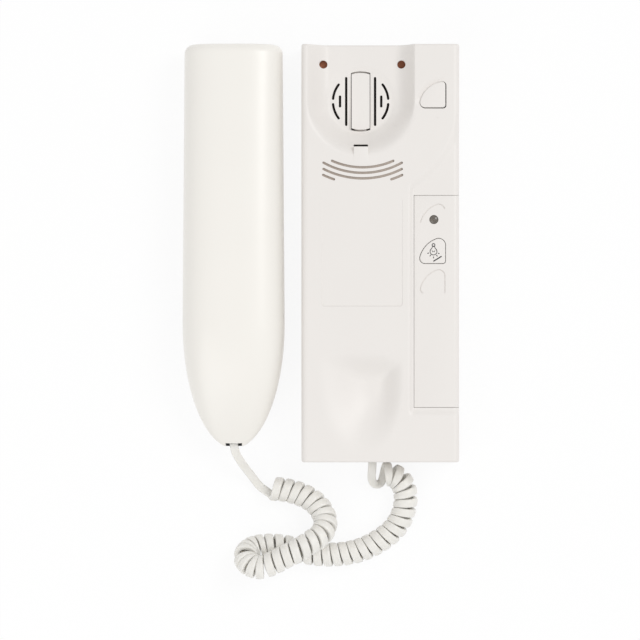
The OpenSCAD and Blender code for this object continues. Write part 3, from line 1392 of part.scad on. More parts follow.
rear_tray();
front_cover();
side_panel();
door_key();
door_key_stem();
door_key_spring();
door_switch();
light_key();
light_key_stem();
light_key_spring();
light_switch();
status_light();
status_light_sleeve();
hook_lever();
hook_pin();
hook_spring();
hook_switch();
hook_plunger();
circuit_board();
board_capacitors();
board_resistors();
board_transformer();
board_screws();
sounder_basket();
sounder_cone();
sounder_magnet();
sounder_cloth();
terminal_block();
terminal_screws();
inner_wires();
cover_screw();
station_jack();
station_plug();
handset_back();
handset_front();
receiver_capsule();
receiver_gasket();
microphone_capsule();
microphone_boot();
balance_weight();
handset_screws();
handset_jack();
handset_plug();
handset_wires();
handset_lead();
curly_cord();
base_lead();
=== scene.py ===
"""Dresses a wall intercom station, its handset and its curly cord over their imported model.

Everything is in metres in the model's frame: X across the station, Y up it, Z out of its front.
"""

import json
import math

import bmesh
import bpy
import numpy as np
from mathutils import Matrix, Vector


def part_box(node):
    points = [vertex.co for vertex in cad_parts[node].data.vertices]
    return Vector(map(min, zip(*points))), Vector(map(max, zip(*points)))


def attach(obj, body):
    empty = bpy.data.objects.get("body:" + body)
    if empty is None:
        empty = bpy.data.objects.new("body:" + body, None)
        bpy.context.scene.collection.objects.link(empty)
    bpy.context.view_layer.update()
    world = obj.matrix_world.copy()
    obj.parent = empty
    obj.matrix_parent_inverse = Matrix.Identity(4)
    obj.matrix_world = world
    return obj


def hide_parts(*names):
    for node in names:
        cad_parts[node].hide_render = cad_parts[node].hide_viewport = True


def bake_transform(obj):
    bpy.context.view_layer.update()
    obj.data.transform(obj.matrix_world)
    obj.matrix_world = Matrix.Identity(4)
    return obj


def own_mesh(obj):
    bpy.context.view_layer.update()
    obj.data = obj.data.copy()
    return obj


bl_info = {
    "name": "Intercom Handset Set",
    "version": (1, 0, 0),
    "blender": (4, 5, 0),
    "location": "3D View > Sidebar > Intercom",
    "description": "Builds the looks of a wall intercom station, its handset and its curly cord",
    "category": "Add Mesh",
}

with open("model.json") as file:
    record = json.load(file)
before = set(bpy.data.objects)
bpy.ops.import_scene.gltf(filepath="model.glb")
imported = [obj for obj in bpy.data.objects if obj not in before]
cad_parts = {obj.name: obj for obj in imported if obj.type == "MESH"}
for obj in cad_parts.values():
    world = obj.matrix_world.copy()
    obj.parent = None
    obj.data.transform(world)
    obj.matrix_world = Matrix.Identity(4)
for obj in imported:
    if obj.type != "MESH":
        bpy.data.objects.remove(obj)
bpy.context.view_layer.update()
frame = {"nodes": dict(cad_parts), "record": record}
MM = 0.001
# Room that a cut takes past the face it opens
OVER = 1 * MM


# Values kept on the scene

def srgb(red, green, blue):
    """Scene colour of a screen colour given from 0 to 255."""
    def linear(value):
        value /= 255
        return value / 12.92 if value <= 0.04045 else ((value + 0.055) / 1.055) ** 2.4
    return linear(red), linear(green), linear(blue), 1.0


def size(name, description, millimetres):
    """A length kept among the scene's values."""
    return bpy.props.FloatProperty(
        name=name, description=description, default=millimetres * MM, unit="LENGTH", precision=4)


def count(name, description, value):
    """A whole number kept among the scene's values."""
    return bpy.props.IntProperty(name=name, description=description, default=value, min=1)


def colour(name, description, red, green, blue):
    """A colour kept among the scene's values."""
    return bpy.props.FloatVectorProperty(
        name=name, description=description, default=srgb(red, green, blue), subtype="COLOR", size=4,
        min=0, max=1)


class StationSizes(bpy.types.PropertyGroup):
    """Sizes and places on the wall station."""

    width: size("Width", "Width of the station", 80)
    height: size("Height", "Height of the station", 212)
    depth: size("Depth", "Front face above the wall", 30)
    tray: size("Tray", "Depth of the rear tray, where the cover starts", 8)
    wall: size("Wall", "Thickness of the cover", 2.4)
    seam: size("Seam", "Bevel of the cover where it meets the rear tray", 0.35)
    side_r: size("Side radius", "Rounding of the long front edges", 3.0)
    end_r: size("End radius", "Rounding of the front edges at the top and the bottom", 1.2)
    corner_r: size("Corner radius", "Rounding of the four upright corners", 1.2)
    cradle_x: size("Cradle middle", "Middle line of both cradles", -9.9)
    ear_y: size("Ear height", "Centre of the ear cradle", 77.4)
    ear_r: size("Ear radius", "Radius of the ear cradle", 27)
    ear_depth: size("Ear depth", "Depth of the ear cradle and width of its hollow wall", 10)
    ear_rim: size("Ear rim", "Rounding of the ear cradle's upper edge", 0.5)
    dish_r: size("Dish radius", "Radius of the shallow dish round the lever", 18.6)
    dish_w: size("Dish edge", "Width of the shallow dish's soft edge", 3)
    dish_depth: size("Dish depth", "Depth of the shallow dish", 0.6)
    mouth_y: size("Mouth height", "Widest place of the mouth cradle", -61.6)
    mouth_w: size("Mouth width", "Width of the mouth cradle", 44)
    mouth_low: size("Mouth lower length", "Length of the mouth cradle below its widest place", 41.5)
    mouth_up: size("Mouth upper length", "Length of the mouth cradle above its widest place", 13)
    mouth_depth: size("Mouth depth", "Depth of the mouth cradle", 7.4)
    mouth_shift: size("Mouth shift", "How far the deepest place lies below the widest", 6)
    mouth_lean: size("Mouth lean", "How far the deepest place lies to the right", 8)
    mouth_slope: bpy.props.FloatProperty(
        name="Mouth slope", description="Share of the mouth cradle that its walls take up",
        default=0.9, min=0.3, max=1)
    column_x: size("Panel left", "Left side of the side panel", 17.1)
    panel_drop: size("Panel drop", "How much lower the panel lies than the front", 1.5)
    panel_top: size("Panel top", "Upper end of the side panel", 29.2)
    panel_foot: size("Panel foot", "Lower end of the side panel", -78.2)
    panel_t: size("Panel thickness", "Thickness of the side panel", 2)
    panel_gap: size("Panel gap", "Gap round the side panel", 0.3)
    skirt_foot: size("Skirt foot", "Lower edge of the panel's skirt above the wall", 16.5)
    collar_r: size("Collar radius", "Radius of the soft step round the ear cradle", 50.6)
    collar_w: size("Collar width", "Width of that soft step", 4.4)
    step_w: size("Step width", "Width of the soft step beside the panel", 2.2)
    label_w: size("Label width", "Width of the recess for the label", 40.5)
    label_h: size("Label height", "Height of the recess for the label", 54.5)
    label_foot: size("Label foot", "Lower edge of the recess for the label", -26.7)
    label_depth: size("Label depth", "Depth of the recess for the label", 0.5)
    slot_w: size("Grille slot", "Width of the ear grille's slots", 1.25)
    smile_w: size("Sounder slot", "Width of the sounder's slots", 1.25)
    smile_r: size("Sounder slot radius", "Radius of the uppermost sounder slot", 38)
    smile_pitch: size("Sounder slot pitch", "Distance from one sounder slot to the next", 2.8)
    slot_roof: size("Slot roof", "Thickness of the cover over the sounder", 0.9)
    hook_w: size("Hook width", "Width of the opening for the hook lever", 9.8)
    hook_r: size("Hook end radius", "Radius of the hook opening's arched ends", 15.3)
    tongue_w: size("Tongue width", "Width of the tongue below the ear cradle", 8.8)
    tongue_l: size("Tongue reach", "How far the tongue reaches into the ear cradle", 3.6)
    key_x: size("Key side", "Right side of the keys", 32.9)
    key_r: size("Key radius", "Radius of a key's quarter-round face", 13.2)
    key_gap: size("Key gap", "Gap round a key", 0.3)
    key_rise: size("Key rise", "How far a key stands proud", 0.4)
    dip_depth: size("Dip depth", "Depth of the hollow beside the door key", 0.9)
    dip_w: size("Dip width", "Width of the hollow beside the door key", 3.2)
    door_corner: size("Door key corner", "Radius of the door key's upper corner", 1.7)
    key_edge: size("Key edge", "Rounding of a key's upper edge", 0.5)
    door_y: size("Door key foot", "Lower side of the door key", 73.7)
    light_y: size("Light key foot", "Lower side of the light key", -5.2)
    blank_up: size("Upper blank", "Distance from the light key up to the next key place", 17.6)
    blank_down: size("Lower blank", "Distance from the light key down to the next key place", 15.6)
    lamp_d: size("Lamp diameter", "Diameter of the status light", 4.4)


class HandsetSizes(bpy.types.PropertyGroup):
    """Sizes and places on the handset, which lies face down."""

    middle: size("Middle", "Middle line of the handset", -74.6)
    top: size("Top", "Ear end of the handset", 106.1)
    length: size("Length", "Length of the handset", 205.4)
    width: size("Width", "Greatest width of the handset", 52)
    end_w: size("End width", "Width of the ear end", 50)
    height: size("Height", "Height of the handset's back", 38)
    seam: size("Seam", "Height of the seam between the shells", 16)
    seam_groove: size("Seam groove", "Bevel at the seam", 0.35)
    grip: size("Grip", "Height of the grip's underside", 12)
    nose: size("Nose", "Length of the rounded mouth end", 63.4)
    corner: size("Corner", "Corner radius of the ear end", 4.6)
    shell: size("Shell", "Thickness of the shells", 2.2)
    crown_fall: size("Crown fall", "How much lower the back is at the ear end", 4)


class CordSizes(bpy.types.PropertyGroup):
    """Sizes of the curly cord."""

    width: size("Width", "Width of the cord's flattened section", 4.3)
    thickness: size("Thickness", "Thickness of the cord's flattened section", 2.8)
    coil_d: size("Coil diameter", "Outer diameter of the curls", 12.6)
    gap: size("Gap", "Least gap between neighbouring curls", 0.12)
    curls_a: count("Curls before the turn", "Whole curls from the handset to the turning place", 20)
    curls_b: count("Curls after the turn", "Whole curls from the turning place to the station", 26)
    rings: count("Rings", "Cross sections to a curl", 28)
    sides: count("Sides", "Points on a cross section", 20)


class Finishes(bpy.types.PropertyGroup):
    """Colours of the materials."""

    station: colour("Station", "Plastic of the station", 236, 232, 228)
    handset: colour("Handset", "Plastic of the handset", 244, 241, 235)
    cord: colour("Cord", "Jacket of the cord", 237, 235, 230)
    board: colour("Board", "Brown laminate of the circuit board", 172, 102, 66)
    cloth: colour("Cloth", "Cloth behind the sounder's slots", 194, 182, 172)
    lamp: colour("Lamp", "Lens of the status light", 96, 90, 83)
    ink: colour("Ink", "Ink of the sign on the light key", 64, 62, 62)
    floor: colour("Floor", "Floor that the set lies on", 250, 250, 250)


# Lines and outlines

def smooth(share):
    """Soft step from 0 to 1."""
    share = np.clip(share, 0, 1)
    return share * share * (3 - 2 * share)


def spline(points, steps):
    """Smooth line through points."""
    points = np.asarray(points, float)
    line = []
    for i in range(len(points) - 1):
        a, b, c, d = (points[min(max(i + k, 0), len(points) - 1)] for k in (-1, 0, 1, 2))
        for u in np.arange(steps) / steps:
            line.append(b + (c - a) * u / 2 + (2 * a - 5 * b + 4 * c - d) * u ** 2 / 2
                        + (3 * b - a - 3 * c + d) * u ** 3 / 2)
    return np.array(line + [points[-1]])


def unit(vectors):
    """Vectors of length one."""
    return vectors / np.linalg.norm(vectors, axis=-1, keepdims=True)


def arc(centre, radius, start, end, steps):
    """Points on an arc, angles in degrees."""
    angles = np.radians(np.linspace(start, end, steps + 1))
    return np.column_stack([centre[0] + radius * np.cos(angles), centre[1] + radius * np.sin(angles)])


def rounded_rectangle(low, high, radius, steps=6):
    """Outline of a rectangle with rounded corners."""
    (x0, y0), (x1, y1) = low, high
    corners = [(x1 - radius, y0 + radius, -90), (x1 - radius, y1 - radius, 0),
               (x0 + radius, y1 - radius, 90), (x0 + radius, y0 + radius, 180)]
    return np.vstack([arc((x, y), radius, a, a + 90, steps) for x, y, a in corners])


# Points on a slot's round end, and on each degree of a curved slot
SLOT_END_STEPS = 8
SLOT_DEGREE_STEPS = 1.2
# Radii of a key's corners, and the angle that its round side keeps from them
KEY_FOOT_R = 1.3 * MM
KEY_LEFT_R = 2.6 * MM
KEY_TOP_R = 3.4 * MM
KEY_CORNER_ROOM = 2


def slot_outline(x, y, length, width):
    """Outline of a straight upright slot with round ends."""
    half = (length - width) / 2
    return np.vstack([arc((x, y + half), width / 2, 0, 180, SLOT_END_STEPS),
                      arc((x, y - half), width / 2, 180, 360, SLOT_END_STEPS)])


def arc_slot_outline(centre, radius, width, start, end):
    """Outline of a curved slot with round ends."""
    steps = max(SLOT_END_STEPS, int((end - start) * SLOT_DEGREE_STEPS))
    first, last = arc(centre, radius, start, end, 1)
    return np.vstack([
        arc(centre, radius + width / 2, start, end, steps),
        arc(last, width / 2, end, end + 180, SLOT_END_STEPS)[1:-1],
        arc(centre, radius - width / 2, end, start, steps),
        arc(first, width / 2, start + 180, start + 360, SLOT_END_STEPS)[1:-1]])


def key_outline(sizes, corner, grow, top_r=KEY_TOP_R):
    """Quarter-round key face, its lower right corner at corner, grown outwards."""
    r = sizes.key_r
    left = np.array([-math.sqrt((r - KEY_LEFT_R) ** 2 - KEY_LEFT_R ** 2), KEY_LEFT_R])
    top = np.array([-top_r, math.sqrt((r - top_r) ** 2 - top_r ** 2)])
    left_a = math.degrees(math.atan2(left[1], left[0]))
    top_a = math.degrees(math.atan2(top[1], top[0]))
    outline = np.vstack([
        arc((-KEY_FOOT_R, KEY_FOOT_R), KEY_FOOT_R + grow, -90, 0, 8),
        arc(top, top_r + grow, 0, top_a, 12),
        arc((0, 0), r + grow, top_a + KEY_CORNER_ROOM, left_a - KEY_CORNER_ROOM, 20),
        arc(left, KEY_LEFT_R + grow, left_a, 270, 12)])
    return outline + np.asarray(corner)


# Meshes

def piece(name, points, faces):
    """New mesh object from points and faces, its faces turned outwards."""
    mesh = bpy.data.meshes.new(name)
    mesh.from_pydata([tuple(p) for p in points], [], faces)
    mesh.update()
    solid = bmesh.new()
    solid.from_mesh(mesh)
    if solid.calc_volume(signed=True) < 0:
        mesh.flip_normals()
    solid.free()
    thing = bpy.data.objects.new(name, mesh)
    bpy.context.scene.collection.objects.link(thing)
    return thing


def loft(name, rings, closed=False):
    """Closed solid through rings of equal count: flat ends, or the last ring joined to the first."""
    rings = np.asarray(rings, float)
    number, around = rings.shape[:2]
    faces = []
    for j in range(number if closed else number - 1):
        low, high = j * around, (j + 1) % number * around
        for i in range(around):
            k = (i + 1) % around
            faces.append((low + i, low + k, high + k, high + i))
    if not closed:
        faces.append(tuple(range(around - 1, -1, -1)))
        faces.append(tuple((number - 1) * around + i for i in range(around)))
    return piece(name, rings.reshape(-1, 3), faces)


def stroke(name, line, width, low, high, closed=False):
    """Flat printed stroke along a line."""
    line = np.asarray(line, float)
    along = np.roll(line, -1, 0) - np.roll(line, 1, 0)
    if not closed:
        along[0], along[-1] = line[1] - line[0], line[-1] - line[-2]
    side = unit(along)[:, ::-1] * (-1, 1) * width / 2
    rings = [[(*(p - n), low), (*(p + n), low), (*(p + n), high), (*(p - n), high)]
             for p, n in zip(line, side)]
    return loft(name, rings, closed)


def at_height(outline, z):
    """Outline as a ring at one height."""
    return np.column_stack([outline, np.full(len(outline), z)])


def prism(name, outline, low, high):
    """Solid of one outline from low to high."""
    return loft(name, [at_height(outline, low), at_height(outline, high)])


def box(name, low, high):
    """Rectangular solid, used as a cut."""
    outline = np.array([(low[0], low[1]), (high[0], low[1]), (high[0], high[1]), (low[0], high[1])])
    return prism(name, outline, low[2], high[2])


def rod(name, centre, radius, low, high, sides=48):
    """Round solid along Z, used as a cut or a boss."""
    return prism(name, arc(centre, radius, 0, 360, sides)[:-1], low, high)


def turned(name, centre, profile, sides=128):
    """Solid turned about an upright axis from a profile of radius and height, from axis to axis."""
    profile = np.asarray(profile, float)
    inner = profile[1:-1]
    angles = np.linspace(0, 2 * math.pi, sides, endpoint=False)
    points = [(centre[0], centre[1], profile[0][1])]
    for r, z in inner:
        points += [(centre[0] + r * math.cos(a), centre[1] + r * math.sin(a), z) for a in angles]
    points.append((centre[0], centre[1], profile[-1][1]))
    last = len(points) - 1
    faces = []
    for i in range(sides):
        k = (i + 1) % sides
        faces.append((0, 1 + k, 1 + i))
        for j in range(len(inner) - 1):
            a, b = 1 + j * sides, 1 + (j + 1) * sides
            faces.append((a + i, a + k, b + k, b + i))
        end = 1 + (len(inner) - 1) * sides
        faces.append((end + i, end + k, last))
    return piece(name, points, faces)


def bake(thing):
    """Applies every modifier of an object to its mesh."""
    graph = bpy.context.evaluated_depsgraph_get()
    mesh = bpy.data.meshes.new_from_object(thing.evaluated_get(graph))
    old = thing.data
    thing.modifiers.clear()
    thing.data = mesh
    mesh.name = thing.name
    bpy.data.meshes.remove(old)


def combine(thing, operation, others):
    """Cuts other solids from one, or joins them to it, and removes them."""
    for other in others:
        step = thing.modifiers.new("step", "BOOLEAN")
        step.operation = operation
        step.solver = "MANIFOLD"
        step.object = other
        bake(thing)
        bpy.data.objects.remove(other)
    if not thing.data.polygons:
        raise RuntimeError(f"{thing.name} came out empty")
    return thing


def together(name, others):
    """One object of several that don't meet."""
    points, faces = [], []
    for other in others:
        start = len(points)
        points += [tuple(v.co) for v in other.data.vertices]
        faces += [tuple(start + i for i in p.vertices) for p in other.data.polygons]
        bpy.data.objects.remove(other)
    return piece(name, points, faces)


# Least angles of an edge that is shown sharp: most pieces, the cover and panel, keys and shells, the cord
SHARP = 32
SHARP_COVER = 28
SHARP_SHELL = 40
SHARP_CORD = 60
# Distance at which points of a node are one, and the least angle of its edges that are rounded
NODE_WELD = 0.001 * MM
NODE_EDGE_ANGLE = 40


def dress(thing, finish, angle=SHARP):
    """Gives a piece its material and smooth shading that keeps its edges."""
    thing.data.materials.clear()
    thing.data.materials.append(finish)
    thing.data.shade_smooth()
    thing.data.set_sharp_from_angle(angle=math.radians(angle))


def dress_node(name, finish, soften=0.0):
    """Gives a node of the model its material, and rounds its edges where soften says how much."""
    thing = frame["nodes"][name]
    for slot in thing.material_slots:
        slot.material = finish
    if soften:
        weld = thing.modifiers.new("weld", "WELD")
        weld.merge_threshold = NODE_WELD
        bevel = thing.modifiers.new("bevel", "BEVEL")
        bevel.width = soften
        bevel.segments = 2
        bevel.limit_method = "ANGLE"
        bevel.angle_limit = math.radians(NODE_EDGE_ANGLE)


# Materials

class Field:
    """A value in a material's nodes, with arithmetic that adds Math nodes."""

    def __init__(self, finish, socket):
        self.finish = finish
        self.socket = socket

    def combine(self, operation, first, second):
        return self.finish.node("ShaderNodeMath", {"operation": operation}, {0: first, 1: second})

    def __add__(self, other):
        return self.combine("ADD", self, other)

    __radd__ = __add__

    def __sub__(self, other):
        return self.combine("SUBTRACT", self, other)

    def __rsub__(self, other):
        return self.combine("SUBTRACT", other, self)

    def __mul__(self, other):
        return self.combine("MULTIPLY", self, other)

    __rmul__ = __mul__


class Finish:
    """A material under construction: one shader and the nodes that feed it."""

    def __init__(self, name):
        self.material = bpy.data.materials.new(name)
        self.material.use_nodes = True
        self.tree = self.material.node_tree
        self.tree.nodes.clear()
        self.output = self.tree.nodes.new("ShaderNodeOutputMaterial")

    def node(self, kind, settings=None, sockets=None, output=0):
        """Adds a node of a kind, sets its settings, then its sockets' values or links."""
        made = self.tree.nodes.new(kind)
        for key, value in (settings or {}).items():
            if key == "stops":
                ramp = made.color_ramp.elements
                while len(ramp) < len(value):
                    ramp.new(0.5)
                for stop, (place, shade) in zip(ramp, value):
                    stop.position = place
                    stop.color = shade
            else:
                setattr(made, key, value)
        for key, value in (sockets or {}).items():
            if isinstance(value, Field):
                self.tree.links.new(value.socket, made.inputs[key])
            else:
                made.inputs[key].default_value = value
        return Field(self, made.outputs[output])

    def place(self):
        """Position on the piece, in metres."""
        return self.node("ShaderNodeTexCoord", output="Object")

    def noise(self, scale, detail=3.0, roughness=0.55, place=None):
        """Noise between 0 and 1, scale in cycles to a metre."""
        return self.node("ShaderNodeTexNoise", None, {
            "Vector": place or self.place(), "Scale": scale, "Detail": detail, "Roughness": roughness})

    def bands(self, axis, scale, distortion=0.0, detail=2.0):
        """Soft bands across an axis, from 0 to 1."""
        return self.node("ShaderNodeTexWave", {"wave_type": "BANDS", "bands_direction": axis}, {
            "Vector": self.place(), "Scale": scale, "Distortion": distortion, "Detail": detail},
            output="Fac")

    def larger(self, first, second):
        """The larger of two values."""
        return self.node("ShaderNodeMath", {"operation": "MAXIMUM"}, {0: first, 1: second})

    def mix(self, factor, first, second):
        """Colour between two others."""
        return self.node("ShaderNodeMix", {"data_type": "RGBA"}, {
            "Factor": factor, 6: first, 7: second}, output=2)

    def bump(self, height, distance, strength=1.0):
        """Fine relief, distance in metres."""
        return self.node("ShaderNodeBump", None, {
            "Height": height, "Distance": distance, "Strength": strength})

    def finish(self, **sockets):
        """Makes the shader from its sockets, names written with _ for a blank."""
        shader = self.node("ShaderNodeBsdfPrincipled", None, {
            key.replace("_", " "): value for key, value in sockets.items()})
        self.tree.links.new(shader.socket, self.output.inputs["Surface"])
        return self.material


def shade(tint, factor):
    """Colour made lighter or darker."""
    return tuple(min(1.0, c * factor) for c in tint[:3]) + (1.0,)


def moulded(name, tint, roughness, grain, relief, cloud):
    """Injection-moulded plastic: a spark-eroded grain, faint flow clouds, and a gloss that varies."""
    f = Finish(name)
    fine = f.noise(grain, detail=2.0)
    flow = f.noise(26.0, detail=2.0)
    scuff = f.noise(210.0, detail=4.0, roughness=0.7)
    base = f.mix(flow, shade(tint, 1 - cloud), shade(tint, 1 + cloud))
    gloss = roughness - 0.06 + 0.07 * scuff + 0.05 * fine
    return f.finish(Base_Color=base, Roughness=gloss, Normal=f.bump(fine, relief, 0.6),
                    Specular_IOR_Level=0.45)


def jacket(name, tint):
    """Soft cord jacket with a slight drag from the extruder."""
    f = Finish(name)
    drag = f.noise(900.0)
    soil = f.noise(60.0)
    base = f.mix(soil, shade(tint, 0.97), shade(tint, 1.02))
    return f.finish(Base_Color=base, Roughness=0.36 + 0.14 * drag, Normal=f.bump(drag, 0.04 * MM, 0.5),
                    Specular_IOR_Level=0.5, Subsurface_Weight=0.6, Subsurface_Scale=1.2 * MM,
                    Subsurface_Radius=(1.0, 1.0, 1.0))


def laminate(name, tint):
    """Brown paper laminate with fibres that run along the board."""
    f = Finish(name)
    stretched = f.node("ShaderNodeMapping", None, {"Vector": f.place(), "Scale": (1.0, 0.12, 1.0)})
    fibre = f.noise(1500.0, detail=4.0, roughness=0.6, place=stretched)
    patch = f.noise(90.0)
    base = f.mix(0.35 * patch + 0.5 * fibre, shade(tint, 0.72), shade(tint, 1.25))
    return f.finish(Base_Color=base, Roughness=0.42 + 0.2 * fibre, Normal=f.bump(fibre, 0.03 * MM, 0.5))


def woven(name, tint):
    """Loose cloth: crossed threads."""
    f = Finish(name)
    warp, weft = (f.bands(axis, 420.0, distortion=0.6, detail=1.0) for axis in "XY")
    thread = 0.5 * warp + 0.5 * weft
    base = f.mix(thread, shade(tint, 0.78), shade(tint, 1.06))
    return f.finish(Base_Color=base, Roughness=0.92, Normal=f.bump(thread, 0.1 * MM, 0.6))


def metal(name, tint, roughness):
    """Plated metal with fine marks."""
    f = Finish(name)
    mark = f.noise(1800.0, roughness=0.6)
    cloud = f.noise(120.0, detail=2.0)
    base = f.mix(cloud, shade(tint, 0.9), shade(tint, 1.06))
    return f.finish(Base_Color=base, Metallic=1.0, Roughness=roughness + 0.14 * mark,
                    Normal=f.bump(mark, 0.02 * MM, 0.4))


def matt(name, tint, roughness, grain, relief, cloud=0.12):
    """Dull surface with a coarse grain: ferrite, paper, rubber, tape, sleeves and ink."""
    f = Finish(name)
    speck = f.noise(grain, detail=4.0, roughness=0.65)
    cloudy = f.noise(grain * 0.1, detail=2.0)
    base = f.mix(0.6 * speck + 0.4 * cloudy, shade(tint, 1 - cloud), shade(tint, 1 + cloud))
    return f.finish(Base_Color=base, Roughness=roughness - 0.05 + 0.1 * speck,
                    Normal=f.bump(speck, relief, 0.6))


def clear(name, tint):
    """Clear plastic of a cord plug, a little cloudy."""
    f = Finish(name)
    haze = f.noise(500.0)
    return f.finish(Base_Color=f.mix(haze, shade(tint, 0.95), tint), Roughness=0.12 + 0.1 * haze,
                    Transmission_Weight=0.75, IOR=1.49, Normal=f.bump(haze, 0.03 * MM, 0.3))


def lens(name, tint):
    """Smoky lens of the status light with lighter specks."""
    f = Finish(name)
    speck = f.noise(1100.0)
    depth = f.noise(420.0, detail=2.0)
    base = f.mix(1.6 * speck + 0.4 * depth - 0.5, shade(tint, 0.3), shade(tint, 2.0))
    return f.finish(Base_Color=base, Roughness=0.22 + 0.1 * speck, Coat_Weight=0.4,
                    Normal=f.bump(speck, 0.03 * MM, 0.3))


def banded(name, tint):
    """Lacquered resistor bodies with painted rings along X."""
    f = Finish(name)
    black, red = (0.02, 0.02, 0.02, 1), (0.35, 0.03, 0.02, 1)
    paint = f.node("ShaderNodeValToRGB", {"stops": [(0.0, black), (0.2, red), (0.35, tint), (1.0, tint)]},
                   {"Fac": f.bands("X", 260.0)})
    gloss = f.noise(800.0, detail=2.0)
    return f.finish(Base_Color=paint, Roughness=0.3 + 0.12 * gloss, Normal=f.bump(gloss, 0.02 * MM, 0.4))


def make_finishes(tints):
    """Every material of the set, by the record's slot or by a name of its own.

    A moulded or matt one is given its tint, roughness, grain to a metre, depth of the grain and strength
    of its clouds.
    """
    return {
        "station_plastic": moulded("Station plastic", tints.station, 0.40, 5200.0, 0.04 * MM, 0.012),
        "handset_plastic": moulded("Handset plastic", tints.handset, 0.30, 4200.0, 0.02 * MM, 0.010),
        "cord_jacket": jacket("Cord jacket", tints.cord),
        "dark_plastic": moulded("Dark plastic", srgb(44, 44, 44), 0.45, 4000.0, 0.05 * MM, 0.1),
        "clear_plastic": clear("Clear plastic", srgb(226, 230, 228)),
        "lamp_lens": lens("Lamp lens", tints.lamp),
        "phenolic_board": laminate("Phenolic board", tints.board),
        "steel": metal("Plated steel", srgb(190, 190, 188), 0.28),
        "ferrite": matt("Ferrite", srgb(52, 50, 50), 0.62, 3000.0, 0.06 * MM),
        "paper_cone": matt("Paper cone", srgb(64, 58, 52), 0.85, 1600.0, 0.12 * MM, 0.18),
        "sound_cloth": woven("Sound cloth", tints.cloth),
        "blue_sleeve": matt("Blue sleeve", srgb(46, 66, 104), 0.4, 900.0, 0.03 * MM, 0.06),
        "tan_lacquer": banded("Tan lacquer", srgb(196, 164, 116)),
        "yellow_tape": matt("Yellow tape", srgb(214, 180, 84), 0.48, 700.0, 0.04 * MM, 0.06),
        "terminal_plastic": moulded("Terminal plastic", srgb(226, 226, 220), 0.42, 3600.0, 0.04 * MM, 0.03),
        "capsule_plastic": moulded("Capsule plastic", srgb(190, 184, 170), 0.5, 3000.0, 0.05 * MM, 0.05),
        "soft_rubber": matt("Soft rubber", srgb(48, 48, 48), 0.8, 2600.0, 0.06 * MM),
        "red_plastic": moulded("Red plastic", srgb(172, 44, 36), 0.4, 3600.0, 0.04 * MM, 0.06),
        "green_plastic": moulded("Green plastic", srgb(58, 104, 66), 0.4, 3600.0, 0.04 * MM, 0.06),
        "contact_gold": metal("Gold contacts", srgb(212, 170, 92), 0.24),
        "print": matt("Print", tints.ink, 0.55, 2400.0, 0.01 * MM, 0.06),
        # Painted shade: a near-black woven sheet that stands in for the shade under the ear grille's slots
        "gauze": woven("Dark gauze", srgb(26, 22, 20)),
    }


FINISHES = {}


def add(thing, body, slot, finish=None, nodes=(), angle=SHARP):
    """Dresses a finished piece, sets it on its body and hides the model's nodes that it stands for."""
    dress(thing, FINISHES[finish or slot], angle)
    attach(thing, body)
    if nodes:
        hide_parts(*nodes)


def box_middle(node):
    """Middle of a node's box."""
    low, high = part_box(node)
    return (np.array(low) + np.array(high)) / 2


# Repeats

def row_tree(name):
    """Nodes that set blocks in a row: number, first place, step and block size are the inputs."""
    tree = bpy.data.node_groups.new(name, "GeometryNodeTree")
    sockets = {}
    for label, kind, default in (("Number", "NodeSocketInt", 4), ("First", "NodeSocketVector", (0, 0, 0)),
                                 ("Step", "NodeSocketVector", (MM, 0, 0)),
                                 ("Block", "NodeSocketVector", (MM, MM, MM)),
                                 ("Material", "NodeSocketMaterial", None)):
        socket = tree.interface.new_socket(label, in_out="INPUT", socket_type=kind)
        if default is not None:
            socket.default_value = default
        sockets[label] = socket.identifier
    tree.interface.new_socket("Geometry", in_out="OUTPUT", socket_type="NodeSocketGeometry")
    given = tree.nodes.new("NodeGroupInput")
    line = tree.nodes.new("GeometryNodeMeshLine")
    line.mode = "OFFSET"
    block = tree.nodes.new("GeometryNodeMeshCube")
    spread = tree.nodes.new("GeometryNodeInstanceOnPoints")
    real = tree.nodes.new("GeometryNodeRealizeInstances")
    coat = tree.nodes.new("GeometryNodeSetMaterial")
    result = tree.nodes.new("NodeGroupOutput")
    for start, end in (
            (given.outputs["Number"], line.inputs["Count"]),
            (given.outputs["First"], line.inputs["Start Location"]),
            (given.outputs["Step"], line.inputs["Offset"]),
            (given.outputs["Block"], block.inputs["Size"]),
            (line.outputs["Mesh"], spread.inputs["Points"]),
            (block.outputs["Mesh"], spread.inputs["Instance"]),
            (spread.outputs["Instances"], real.inputs["Geometry"]),
            (real.outputs["Geometry"], coat.inputs["Geometry"]),
            (given.outputs["Material"], coat.inputs["Material"]),
            (coat.outputs["Geometry"], result.inputs[0])):
        tree.links.new(start, end)
    return tree, sockets


def row(name, tree, sockets, values):
    """Plain mesh of one row of blocks."""
    thing = piece(name, [(0, 0, 0)], [])
    modifier = thing.modifiers.new("row", "NODES")
    modifier.node_group = tree
    for label, value in values.items():
        modifier[sockets[label]] = value
    bake(thing)
    if not thing.data.polygons:
        raise RuntimeError(f"{name} came out empty")
    return thing


# Cord

